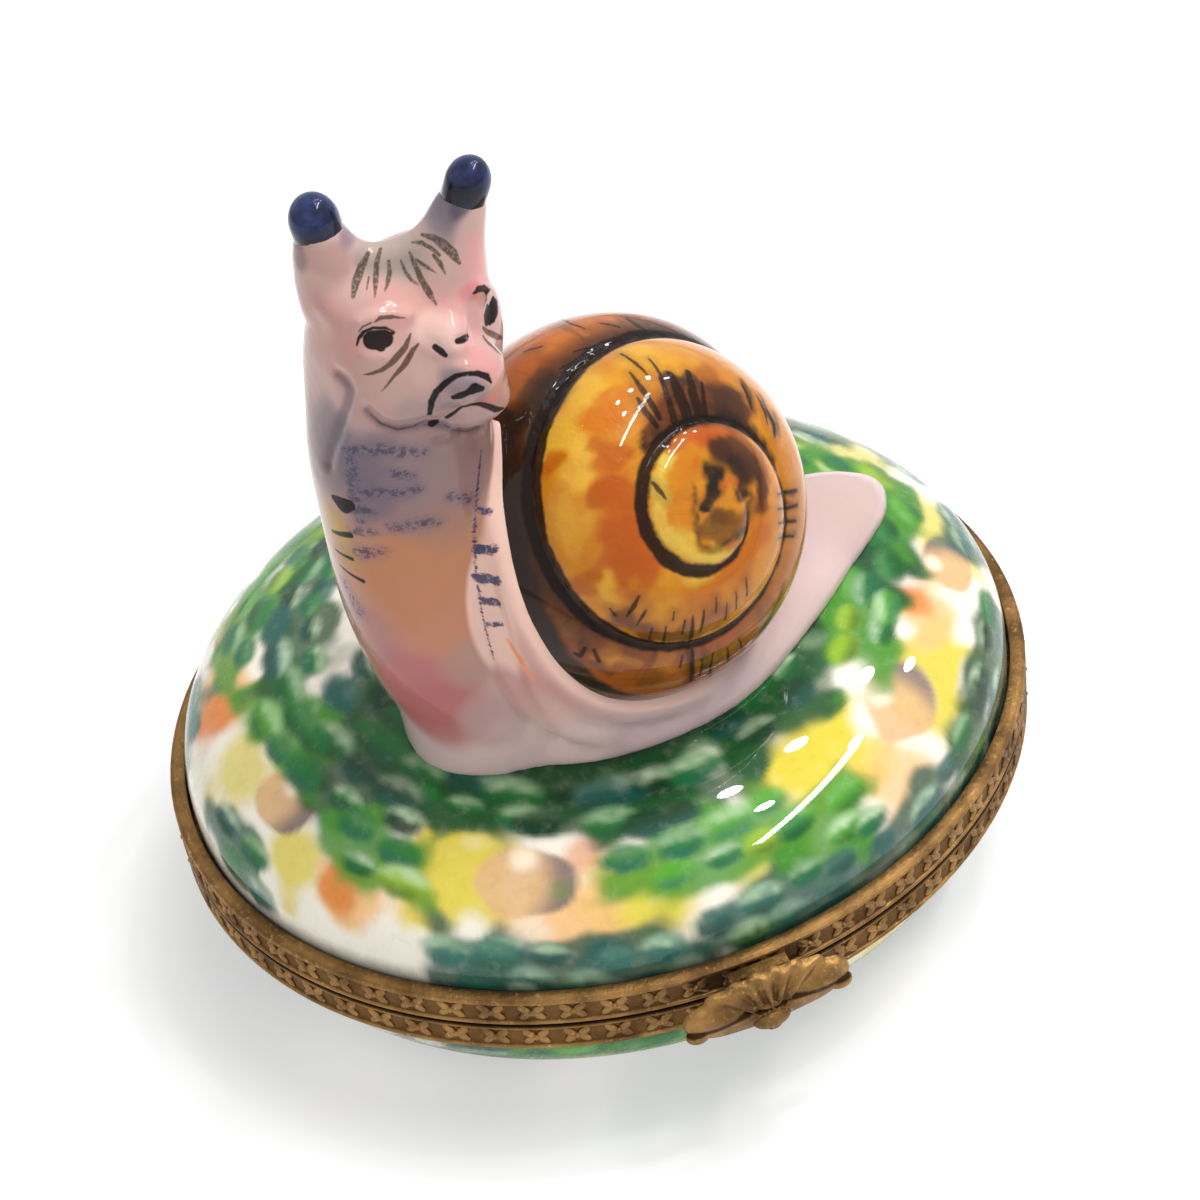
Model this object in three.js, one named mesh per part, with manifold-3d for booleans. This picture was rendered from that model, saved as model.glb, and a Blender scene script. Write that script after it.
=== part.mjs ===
// Oval porcelain trinket box with a snail modelled on its hinged lid.
// Millimetres, +Z up. The origin is the middle of the foot, on the table; -Y is the front, with the clasp.
import * as THREE from "three";
import { mergeVertices } from "three/addons/utils/BufferGeometryUtils.js";
import Module from "manifold-3d";

const wasm = await Module();
wasm.setup();

// Porcelain of the box
const LID_LENGTH = 56; // across the long axis where the porcelain meets the brass
const LID_WIDTH = 50.4;
const DOME_RISE = 8.5;
const DOME_FULLNESS = 2.8; // 2 is a plain half oval, more is flatter on top
const LID_WALL = 2;
const BASE_HEIGHT = 9; // table to the lower edge of the brass
const BASE_WALL = 2.2;
const BASE_FLOOR = 2.4;
const FOOT_INSET = 11; // the flat foot lies this far inside the rim

// Brass bands
const BAND_HEIGHT = 2.2;
const BAND_THICKNESS = 0.9;
const FLANGE_THICKNESS = 0.6;
const FLANGE_WIDTH = 2.3;
const COLLAR_THICKNESS = 0.6;
const COLLAR_HEIGHT = 1.4; // above the parting plane

// Hinge
const KNUCKLE_RADIUS = 1.15;
const KNUCKLE_LENGTH = 2.4;
const PIN_RADIUS = 0.5;
const PIN_HEAD_RADIUS = 0.85;
const PIN_HEAD_LENGTH = 0.7;
const KNUCKLE_FOOT_HEIGHT = 1.7; // of the soldered foot, measured from the hinge axis

// Clasp
const CLASP_WIDTH = 12.4;
const CLASP_DROP = 2.2; // below the parting plane
const CLASP_RELIEF = 1.3;
const CLASP_BEVEL = 0.35;
const TONGUE_WIDTH = 4;
const TONGUE_THICKNESS = 0.5;
const HOOK_HEIGHT = 0.45;
const HOOK_BITE = 0.2; // how far the hook reaches behind the catch
const CATCH_RADIUS = 0.5;
const CATCH_LENGTH = 3.4;
const CATCH_DROP = 0.9; // catch below the parting plane

// Snail: heights are above the crown of the lid
const SNAIL_X = 0; // place of the whole figure on the lid
const SNAIL_Y = 0;
const SHELL_RADIUS = 12.5;
const SHELL_LIFT = 9.9; // centre of the shell
const SHELL_AZIMUTH = 28; // degrees from the front towards +X that the spire faces
const SHELL_TILT = 33; // degrees that the spire faces up
const HORN_RADIUS = 1.5;
const HORN_LENGTH = 2.7;

// Clearances
const PARTING_GAP = 0.15;
const CEMENT_GAP = 0.2; // porcelain to brass band
const SEAT_GAP = 0.1; // porcelain edge to brass flange
const COLLAR_GAP = 0.3;
const SOLDER_GAP = 0.15;
const LUTE_GAP = 0.3; // between porcelain pieces
const PIN_GAP = 0.08;
const KNUCKLE_GAP = 0.15;
const CATCH_GAP = 0.12;

// Fineness of round shapes
const AROUND = 56;
const ROD_SIDES = 24;

// Derived levels and radii; radii are along Y, and X is stretched by the oval
const oval = LID_LENGTH / LID_WIDTH;
const rimRadius = LID_WIDTH / 2;
const bandInner = rimRadius + CEMENT_GAP;
const bandOuter = bandInner + BAND_THICKNESS;
const parting = BASE_HEIGHT + BAND_HEIGHT;
const lidBandBottom = parting + PARTING_GAP;
const lidRim = lidBandBottom + BAND_HEIGHT;
const crown = lidRim + DOME_RISE;
const lidFlangeInner = bandInner - FLANGE_WIDTH;
const collarOuter = lidFlangeInner - COLLAR_GAP;
const collarInner = collarOuter - COLLAR_THICKNESS;
const hingeY = bandOuter + SOLDER_GAP + KNUCKLE_RADIUS;
const hingeZ = parting + PARTING_GAP / 2;

// Materials
const look = (color, roughness, metalness) =>
  new THREE.MeshStandardMaterial({ color, roughness, metalness });
const PORCELAIN = [0xf3f0e8, 0.12, 0];
const BODY_GLAZE = [0xe3cdd0, 0.12, 0];
const SHELL_GLAZE = [0xd08c2c, 0.12, 0];
const HORN_GLAZE = [0x2c3860, 0.12, 0];
const BRASS = [0x9c7840, 0.38, 1];

const box = new THREE.Group();
box.name = "snail_trinket_box";

// A closed geometry as a solid that can be joined and cut
function solid(geometry) {
  const bare = geometry.clone();
  bare.deleteAttribute("normal");
  bare.deleteAttribute("uv");
  const merged = mergeVertices(bare, 1e-4);
  const corners = merged.index.array;
  const kept = [];
  for (let i = 0; i < corners.length; i += 3) {
    const [a, b, c] = [corners[i], corners[i + 1], corners[i + 2]];
    if (a !== b && b !== c && c !== a) {
      kept.push(a, b, c);
    }
  }
  return new wasm.Manifold(new wasm.Mesh({
    numProp: 3,
    vertProperties: new Float32Array(merged.attributes.position.array),
    triVerts: new Uint32Array(kept),
  }));
}

function addPiece(name, body, finish) {
  const mesh = body.getMesh();
  const geometry = new THREE.BufferGeometry();
  geometry.setAttribute("position", new THREE.BufferAttribute(mesh.vertProperties, 3));
  geometry.setIndex(new THREE.BufferAttribute(mesh.triVerts, 1));
  geometry.computeVertexNormals();
  const piece = new THREE.Mesh(geometry, look(...finish));
  piece.name = name;
  box.add(piece);
}

// A turned oval: the profile is a list of [radius along Y, height]
function turned(profile, around = AROUND) {
  const points = profile.map(([r, z]) => new THREE.Vector2(Math.max(r, 0), z));
  const geometry = new THREE.LatheGeometry(points, around);
  geometry.rotateX(Math.PI / 2);
  geometry.scale(oval, 1, 1);
  return solid(geometry);
}

// A round rod between two points, with a radius at each
function rod(from, to, radiusFrom, radiusTo, sides = ROD_SIDES) {
  const along = new THREE.Vector3().subVectors(to, from);
  const geometry = new THREE.CylinderGeometry(radiusTo, radiusFrom, along.length(), sides);
  const turn = new THREE.Quaternion().setFromUnitVectors(
    new THREE.Vector3(0, 1, 0),
    along.clone().normalize(),
  );
  geometry.applyQuaternion(turn);
  const middle = new THREE.Vector3().addVectors(from, to).multiplyScalar(0.5);
  geometry.translate(middle.x, middle.y, middle.z);
  return solid(geometry);
}

function ball(at, radii, across = 20, rings = 14) {
  const geometry = new THREE.SphereGeometry(1, across, rings);
  geometry.rotateX(Math.PI / 2);
  geometry.scale(...radii);
  geometry.translate(at.x, at.y, at.z);
  return solid(geometry);
}

// A skin through a row of sections; each has a middle and two half-axes
function loft(sections, sides = 20) {
  const geometry = new THREE.CylinderGeometry(1, 1, 1, sides, sections.length - 1);
  const place = geometry.attributes.position;
  for (let i = 0; i < place.count; i += 1) {
    const step = Math.round((place.getY(i) + 0.5) * (sections.length - 1));
    const { at, wide, deep } = sections[step];
    const point = at.clone()
      .addScaledVector(wide, place.getX(i))
      .addScaledVector(deep, place.getZ(i));
    place.setXYZ(i, point.x, point.y, point.z);
  }
  return solid(geometry);
}

// Height of the lid's outer face over a point of the plan
function domeHeight(x, y) {
  const reach = Math.min(Math.hypot(x / oval, y) / rimRadius, 1);
  return lidRim + DOME_RISE * (1 - reach ** DOME_FULLNESS) ** (1 / DOME_FULLNESS);
}

function domeProfile(radius, rise, foot, steps = 9) {
  const points = [];
  for (let i = 0; i <= steps; i += 1) {
    const turn = (i / steps) * Math.PI / 2;
    points.push([
      radius * Math.sin(turn) ** (2 / DOME_FULLNESS),
      foot + rise * Math.max(Math.cos(turn), 0) ** (2 / DOME_FULLNESS),
    ]);
  }
  points[0][0] = 0;
  points[steps][1] = foot;
  return points;
}

// Base bowl: flat foot, rounded wall, open on top
function bowlProfile(footRadius, mouthRadius, low, high, steps = 7) {
  const points = [];
  for (let i = 0; i <= steps; i += 1) {
    const turn = (i / steps) * Math.PI / 2;
    points.push([
      footRadius + (mouthRadius - footRadius) * Math.sin(turn),
      low + (high - low) * (1 - Math.cos(turn)),
    ]);
  }
  return points;
}
const footRadius = rimRadius - FOOT_INSET;
const baseMouth = parting - FLANGE_THICKNESS - SEAT_GAP;
const insideMouth = rimRadius - BASE_WALL;
addPiece("base_bowl", turned([
  [0, 0],
  ...bowlProfile(footRadius, rimRadius, 0, BASE_HEIGHT),
  [rimRadius, baseMouth],
  [insideMouth, baseMouth],
  ...bowlProfile(footRadius - BASE_WALL, insideMouth, BASE_FLOOR, BASE_HEIGHT).reverse(),
  [0, BASE_FLOOR],
]), PORCELAIN);

// Brass band of the base, with a flange over the porcelain edge, and the collar that guides the lid
addPiece("base_bezel", turned([
  [bandInner, BASE_HEIGHT],
  [bandOuter, BASE_HEIGHT],
  [bandOuter, parting],
  [collarInner, parting],
  [collarInner, parting - FLANGE_THICKNESS],
  [bandInner, parting - FLANGE_THICKNESS],
  [bandInner, BASE_HEIGHT],
]), BRASS);
addPiece("base_collar", turned([
  [collarInner, parting],
  [collarOuter, parting],
  [collarOuter, parting + COLLAR_HEIGHT],
  [collarInner, parting + COLLAR_HEIGHT],
  [collarInner, parting],
]), BRASS);

// Lid: brass band with the flange that carries the porcelain, and the porcelain dome
addPiece("lid_bezel", turned([
  [lidFlangeInner, lidBandBottom],
  [bandOuter, lidBandBottom],
  [bandOuter, lidRim],
  [bandInner, lidRim],
  [bandInner, lidBandBottom + FLANGE_THICKNESS],
  [lidFlangeInner, lidBandBottom + FLANGE_THICKNESS],
  [lidFlangeInner, lidBandBottom],
]), BRASS);
const lidSeat = lidBandBottom + FLANGE_THICKNESS + SEAT_GAP;
addPiece("lid_dome", turned([
  ...domeProfile(rimRadius, DOME_RISE, lidRim),
  [rimRadius, lidSeat],
  [rimRadius - LID_WALL, lidSeat],
  ...domeProfile(rimRadius - LID_WALL, DOME_RISE - LID_WALL, lidRim).reverse(),
].reverse()), PORCELAIN);

// What the lid takes up, with the lute gap around it, for trimming the figure
const lidRoom = turned([
  ...domeProfile(rimRadius + LUTE_GAP, DOME_RISE + LUTE_GAP, lidRim),
  [rimRadius + LUTE_GAP, 0],
  [0, 0],
].reverse());

// Foot of the snail, from the breast to the tip of the tail: [x, y, half width, thickness]
const FOOT_RUN = [
  [-13.4, -7.4, 2.2, 1.6],
  [-11.6, -7, 4.6, 2.6],
  [-8.4, -6.4, 6.7, 3.3],
  [-3.5, -5.6, 8.8, 3.6],
  [3, -4.6, 10.1, 3.6],
  [9.5, -3.4, 9.1, 3.2],
  [15.5, -1.4, 6.8, 2.7],
  [20, 1, 4, 2],
  [22.6, 2.6, 1.3, 1],
];
// Neck, from the foot up to the top of the head: [x, y, height, half width, half depth]
const NECK_RUN = [
  [-7.2, -7, -4, 7.3, 5.6],
  [-7.7, -6.7, 2.2, 6.8, 5.5],
  [-9.5, -6, 6, 6, 5.3],
  [-10.6, -5.5, 11, 5.6, 5.2],
  [-10.8, -5.2, 17, 5.4, 5],
  [-10.4, -5, 23, 5.3, 5],
  [-9.7, -5.1, 28, 5.5, 5.1],
  [-9.3, -5.3, 31.4, 5.4, 4.8],
  [-9.2, -5.3, 33.4, 4.6, 3.9],
  [-9.2, -5.3, 34.2, 2.6, 2.2],
];
const MUZZLE = { at: [-8.3, -7.8, 28], radii: [4, 3.2, 3.7] };
// Horns: where each grows out of the head, and where its tip sits
const HORNS = {
  left: { root: [-12.1, -4.9, 31.6], seat: [-12.4, -4.8, 36.7] },
  right: { root: [-6.5, -5.9, 31.6], seat: [-4.6, -6.5, 37.6] },
};

const onSnail = ([x, y, height]) => new THREE.Vector3(SNAIL_X + x, SNAIL_Y + y, crown + height);

function footSections(grow) {
  return FOOT_RUN.map(([x, y, half, thick], i) => {
    const before = FOOT_RUN[Math.max(i - 1, 0)];
    const after = FOOT_RUN[Math.min(i + 1, FOOT_RUN.length - 1)];
    const run = new THREE.Vector2(after[0] - before[0], after[1] - before[1]).normalize();
    const px = SNAIL_X + x;
    const py = SNAIL_Y + y;
    return {
      at: new THREE.Vector3(px, py, domeHeight(px, py)),
      wide: new THREE.Vector3(run.y, -run.x, 0).multiplyScalar(half + grow),
      deep: new THREE.Vector3(0, 0, thick + grow),
    };
  });
}

function neckSections(grow) {
  return NECK_RUN.map(([x, y, height, half, depth]) => ({
    at: onSnail([x, y, height]),
    wide: new THREE.Vector3(half + grow, 0, 0),
    deep: new THREE.Vector3(0, -depth - grow, 0),
  }));
}

function snailFlesh(grow) {
  const foot = loft(footSections(grow));
  const neck = loft(neckSections(grow));
  const muzzle = ball(onSnail(MUZZLE.at), MUZZLE.radii.map((r) => r + grow));
  return foot.add(neck).add(muzzle);
}

let flesh = snailFlesh(0);
for (const { root, seat } of Object.values(HORNS)) {
  flesh = flesh.add(rod(onSnail(root), onSnail(seat), HORN_RADIUS * 1.5, HORN_RADIUS, 16));
}
addPiece("snail_body", flesh.subtract(lidRoom), BODY_GLAZE);

// Rounded glazed tips of the horns, luted on to the stumps
for (const [side, { root, seat }] of Object.entries(HORNS)) {
  const bulb = [[0, 0]];
  for (let i = 0; i <= 6; i += 1) {
    const turn = (i / 6) * Math.PI / 2;
    const height = HORN_LENGTH - HORN_RADIUS + HORN_RADIUS * Math.sin(turn);
    bulb.push([i === 6 ? 0 : HORN_RADIUS * Math.cos(turn), i === 0 ? HORN_LENGTH * 0.5 : height]);
  }
  bulb.splice(1, 0, [HORN_RADIUS * 0.92, 0]);
  const points = bulb.map(([r, z]) => new THREE.Vector2(r, z));
  const geometry = new THREE.LatheGeometry(points, 16);
  const way = onSnail(seat).sub(onSnail(root)).normalize();
  geometry.applyQuaternion(new THREE.Quaternion().setFromUnitVectors(new THREE.Vector3(0, 1, 0), way));
  const place = onSnail(seat).addScaledVector(way, LUTE_GAP);
  geometry.translate(place.x, place.y, place.z);
  addPiece(`snail_${side}_horn_tip`, solid(geometry), HORN_GLAZE);
}

// Shell: three whorls that step out towards the spire, trimmed by the body and the lid under it
const spireAzimuth = THREE.MathUtils.degToRad(SHELL_AZIMUTH);
const spireTilt = THREE.MathUtils.degToRad(SHELL_TILT);
const spire = new THREE.Vector3(
  Math.sin(spireAzimuth) * Math.cos(spireTilt),
  -Math.cos(spireAzimuth) * Math.cos(spireTilt),
  Math.sin(spireTilt),
);
const shellMiddle = onSnail([1.2, -4, SHELL_LIFT]);
// Whorls from the body whorl inwards: [radius, middle along the spire, shift away from the tail]
const WHORLS = [[1, 0, 0], [0.9, 0.2, 0.11], [0.53, 0.66, 0.04]];
let shell = null;
for (const [size, along, shift] of WHORLS) {
  const middle = shellMiddle.clone().addScaledVector(spire, along * SHELL_RADIUS);
  middle.x -= shift * SHELL_RADIUS;
  const whorl = ball(middle, [size, size, size].map((s) => s * SHELL_RADIUS), 24, 16);
  shell = shell ? shell.add(whorl) : whorl;
}
const room = turned([
  ...domeProfile(rimRadius + 1, DOME_RISE + 1, lidRim),
  [rimRadius + 1, 0],
  [0, 0],
].reverse());
addPiece("snail_shell", shell.subtract(snailFlesh(LUTE_GAP)).subtract(room), SHELL_GLAZE);

// Hinge: five knuckles soldered in turn to the two bands, on one pin
const hingeAt = (x) => new THREE.Vector3(x, hingeY, hingeZ);
const pitch = KNUCKLE_LENGTH + KNUCKLE_GAP;
const bore = PIN_RADIUS + PIN_GAP;
const bands = turned([
  [0, 0],
  [bandOuter + SOLDER_GAP, 0],
  [bandOuter + SOLDER_GAP, crown],
  [0, crown],
]);
const KNUCKLES = [
  ["hinge_base_knuckle_left", -2],
  ["hinge_lid_knuckle_left", -1],
  ["hinge_base_knuckle_middle", 0],
  ["hinge_lid_knuckle_right", 1],
  ["hinge_base_knuckle_right", 2],
];
for (const [name, slot] of KNUCKLES) {
  const way = slot % 2 === 0 ? -1 : 1;
  const middle = slot * pitch;
  const half = KNUCKLE_LENGTH / 2;
  const barrel = rod(hingeAt(middle - half), hingeAt(middle + half), KNUCKLE_RADIUS, KNUCKLE_RADIUS);
  const foot = new THREE.BoxGeometry(KNUCKLE_LENGTH, KNUCKLE_RADIUS * 3, KNUCKLE_FOOT_HEIGHT);
  const low = hingeZ + way * (KNUCKLE_FOOT_HEIGHT / 2 + PARTING_GAP);
  foot.translate(middle, hingeY - KNUCKLE_RADIUS * 1.5, low);
  const hole = rod(hingeAt(middle - pitch), hingeAt(middle + pitch), bore, bore);
  addPiece(name, barrel.add(solid(foot)).subtract(hole).subtract(bands), BRASS);
}
const pinHalf = 2.5 * pitch;
const pin = rod(hingeAt(-pinHalf), hingeAt(pinHalf), PIN_RADIUS, PIN_RADIUS);
const headEnd = pinHalf + PIN_HEAD_LENGTH;
const heads = [-1, 1].map((side) =>
  rod(hingeAt(side * pinHalf), hingeAt(side * headEnd), PIN_HEAD_RADIUS, PIN_RADIUS));
addPiece("hinge_pin", pin.add(heads[0]).add(heads[1]), BRASS);

// Catch: a half-round bar on the front of the base band
const catchZ = parting - CATCH_DROP;
const catchAt = (x) => new THREE.Vector3(x, -bandOuter - SOLDER_GAP, catchZ);
addPiece(
  "clasp_catch",
  rod(catchAt(-CATCH_LENGTH / 2), catchAt(CATCH_LENGTH / 2), CATCH_RADIUS, CATCH_RADIUS, 16).subtract(bands),
  BRASS,
);

// A flat outline drawn in the X-Z plane, given thickness forwards from a distance before the bands
function frontPlate(outline, from, thickness, bevel) {
  const geometry = new THREE.ExtrudeGeometry(new THREE.Shape(outline), {
    depth: thickness - bevel,
    bevelEnabled: bevel > 0,
    bevelThickness: bevel,
    bevelSize: bevel,
    bevelOffset: -bevel,
    bevelSegments: 2,
    curveSegments: 12,
  });
  geometry.rotateX(Math.PI / 2);
  geometry.translate(0, -bandOuter - from, 0);
  return geometry;
}

// Tongue: soldered to the lid band, it hangs before the catch and hooks under it
const catchReach = SOLDER_GAP + CATCH_RADIUS;
const hookIn = catchReach - HOOK_BITE;
const stripIn = catchReach + CATCH_GAP * 2;
const stripOut = stripIn + TONGUE_THICKNESS;
const hookTop = catchZ - CATCH_RADIUS - CATCH_GAP;
const hookLow = hookTop - HOOK_HEIGHT;
const rootLow = lidBandBottom + BAND_HEIGHT * 0.25;
const rootHigh = lidBandBottom + BAND_HEIGHT * 0.85;
const section = [
  [SOLDER_GAP, rootLow],
  [stripIn, rootLow],
  [stripIn, hookTop],
  [hookIn, hookTop],
  [hookIn, hookLow],
  [stripOut, hookLow],
  [stripOut, rootHigh],
  [SOLDER_GAP, rootHigh],
].map(([out, z]) => new THREE.Vector2(out, z));
const strip = new THREE.ExtrudeGeometry(new THREE.Shape(section), { depth: TONGUE_WIDTH, bevelEnabled: false });
strip.rotateX(Math.PI / 2);
strip.rotateZ(-Math.PI / 2);
strip.translate(TONGUE_WIDTH / 2, -bandOuter, 0);
addPiece("clasp_tongue", solid(strip).subtract(bands), BRASS);

// Ornament: a fluted fan on the front of the tongue
const fan = [];
const fanTop = lidRim - CLASP_BEVEL;
const fanRise = fanTop - parting + CLASP_DROP;
const FLUTES = 7;
for (let i = 0; i <= FLUTES * 4; i += 1) {
  const turn = Math.PI * (1 + i / (FLUTES * 4));
  const swell = 0.94 + 0.06 * Math.abs(Math.sin((i / 4) * Math.PI));
  fan.push(new THREE.Vector2(
    Math.cos(turn) * CLASP_WIDTH * 0.5 * swell,
    fanTop - fanRise * 0.34 + Math.sin(turn) * fanRise * 0.66 * swell,
  ));
}
fan.push(new THREE.Vector2(CLASP_WIDTH * 0.2, fanTop));
fan.push(new THREE.Vector2(-CLASP_WIDTH * 0.2, fanTop));
addPiece("clasp_ornament", solid(frontPlate(fan, stripOut + CLASP_BEVEL, CLASP_RELIEF, CLASP_BEVEL)), BRASS);

export default box;
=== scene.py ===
import math
import random
import bmesh
import bpy
import numpy as np
from mathutils import Matrix, Vector, noise
from mathutils.bvhtree import BVHTree


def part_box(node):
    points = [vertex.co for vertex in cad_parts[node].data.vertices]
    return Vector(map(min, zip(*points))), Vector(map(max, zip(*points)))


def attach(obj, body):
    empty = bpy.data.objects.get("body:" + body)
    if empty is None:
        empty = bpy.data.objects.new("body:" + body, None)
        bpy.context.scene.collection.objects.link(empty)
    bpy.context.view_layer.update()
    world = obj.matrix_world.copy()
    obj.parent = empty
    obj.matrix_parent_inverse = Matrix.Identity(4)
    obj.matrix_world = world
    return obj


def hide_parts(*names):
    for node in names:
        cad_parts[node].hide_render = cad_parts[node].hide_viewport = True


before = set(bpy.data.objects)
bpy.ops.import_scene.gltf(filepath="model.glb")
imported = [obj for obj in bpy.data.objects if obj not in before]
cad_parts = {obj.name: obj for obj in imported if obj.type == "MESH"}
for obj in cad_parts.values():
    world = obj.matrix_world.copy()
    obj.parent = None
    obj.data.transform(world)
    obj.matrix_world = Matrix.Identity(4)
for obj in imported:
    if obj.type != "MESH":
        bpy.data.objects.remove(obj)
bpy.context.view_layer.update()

# Sizes are in mm; a finished piece is brought to metres as the last step.
MM = 0.001

# Box: oval porcelain halves in brass bands
OVAL = 56 / 50.4
RIM_RADIUS = 25.2
RIM_LEVEL = 13.55
DOME_RISE = 8.5
DOME_FULLNESS = 2.8
CROWN = RIM_LEVEL + DOME_RISE
LID_INSIDE_RADIUS = 23.2
LID_INSIDE_RISE = 6.5
LID_SEAT = 12.05
FOOT_RADIUS = 14.2
BOWL_SWELL = 11
BOWL_RISE = 9
BOWL_MOUTH = 10.5
BOWL_WALL = 2.2
BOWL_FLOOR = 2.4
PARTING = 11.2
BAND_HEIGHT = 2.2
BAND_INNER = 25.4
BAND_FIELD = 26.16
BAND_BORDER = 26.36
FLANGE_INNER = 23.1
FLANGE_THICKNESS = 0.6
PARTING_GAP = 0.15
STUDS_ROUND = 68
TURN_STEPS = 144
PAINT_STEPS = 400

# Hinge, collar and clasp
HINGE_Y = 27.6
HINGE_Z = 11.275
KNUCKLE_RADIUS = 1.15
KNUCKLE_LENGTH = 2.4
KNUCKLE_PITCH = 2.55
KNUCKLE_BORE = 0.58
KNUCKLE_EDGE = 0.14
KNUCKLE_FOOT_INSET = 0.02
KNUCKLE_FOOT_BACK = 0.35
KNUCKLE_FOOT_LEVEL = 0.62
PIN_RADIUS = 0.5
PIN_HEAD = 0.85
COLLAR_INNER = 22.2
COLLAR_OUTER = 22.8
TONGUE_THICKNESS = 0.5
TONGUE_ROOT = 11.9
HOOK_REACH = 0.94
HOOK_TOP = 9.68
FAN_HEIGHT = 2.2
FLUTES = 18
SOFT_EDGE = 0.1

# Snail: shell ball, its spire and the spiral line on it
SHELL_MIDDLE = Vector((1.25, -3.8, 32.3))
SHELL_RADIUS = 11.5
SPIRE_AZIMUTH = math.radians(20)
SPIRE_RISE = math.radians(29.5)
SPIRAL_START = -2.27
SPIRAL_GROWTH = math.log(2.6)
WHORL_SWELL = 0.13
WHORL_WIDEST = 7.5
SPIRE_LIFT = 0.95
SPIRE = Vector((math.sin(SPIRE_AZIMUTH) * math.cos(SPIRE_RISE),
                -math.cos(SPIRE_AZIMUTH) * math.cos(SPIRE_RISE), math.sin(SPIRE_RISE)))
SPIRE_RIGHT = Vector((0, 0, 1)).cross(SPIRE).normalized()
SPIRE_UP = SPIRE.cross(SPIRE_RIGHT)

# Steps of the snail's skin and of its strokes, and how near to strokes the skin is split finer
SKIN_STEP = 0.25
BODY_SPLITS = (0.64, 0.33)
SHELL_SPLITS = (0.5, 0.3)
STROKE_STEP = 0.35

# Seed of the washes' drift, so that every run gives the same paint
DRIFT_SEED = 7
noise.seed_set(DRIFT_SEED)

# Camera of the photo, fitted to the rim: its place and directions, and its focus and centre in pixels
PHOTO_PIXELS = 1200
PHOTO_FOCUS = 3049
PHOTO_CENTRE = (595.6, 687.3)
EYE = Vector((-37.71, -140.73, 158.23))
EYE_RIGHT = Vector((0.92258, -0.3676, -0.11711))
EYE_UP = Vector((0.3393, 0.62857, 0.69984))
EYE_BACK = Vector((-0.18365, -0.68539, 0.70463))
# How much further back than the spot before it a spot of a stroke may land
EDGE_JUMP = 4.0


def sight(spot):
    """The direction from the camera through a spot of the photo."""
    right, down = spot[0] - PHOTO_CENTRE[0], spot[1] - PHOTO_CENTRE[1]
    return (EYE_RIGHT * right - EYE_UP * down - EYE_BACK * PHOTO_FOCUS).normalized()


def dome_height(x, y):
    """Top of the porcelain lid above a point."""
    out = min(math.hypot(x / OVAL, y) / RIM_RADIUS, 1.0)
    return RIM_LEVEL + DOME_RISE * (1 - out ** DOME_FULLNESS) ** (1 / DOME_FULLNESS)


# Finishes

def paint(red, green, blue):
    """A glaze colour as it looks on the fired piece, 0 to 255, as a shader colour."""
    def level(c):
        c /= 255
        return c / 12.92 if c <= 0.04045 else ((c + 0.055) / 1.055) ** 2.4
    return (level(red), level(green), level(blue), 1.0)


class Tone:
    """A value that changes over a finish; sums with it add Math nodes."""

    def __init__(self, finish, socket):
        self.finish = finish
        self.socket = socket

    def maths(self, operation, *values):
        return self.finish.add("ShaderNodeMath", {"operation": operation}, list(values))

    def __add__(self, other):
        return self.maths("ADD", self, other)

    def __radd__(self, other):
        return self.maths("ADD", other, self)

    def __sub__(self, other):
        return self.maths("SUBTRACT", self, other)

    def __rsub__(self, other):
        return self.maths("SUBTRACT", other, self)

    def __mul__(self, other):
        return self.maths("MULTIPLY", self, other)

    def __rmul__(self, other):
        return self.maths("MULTIPLY", other, self)

    def __truediv__(self, other):
        return self.maths("DIVIDE", self, other)

    def __pow__(self, other):
        return self.maths("POWER", self, other)

    def __abs__(self):
        return self.maths("ABSOLUTE", self)


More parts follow.
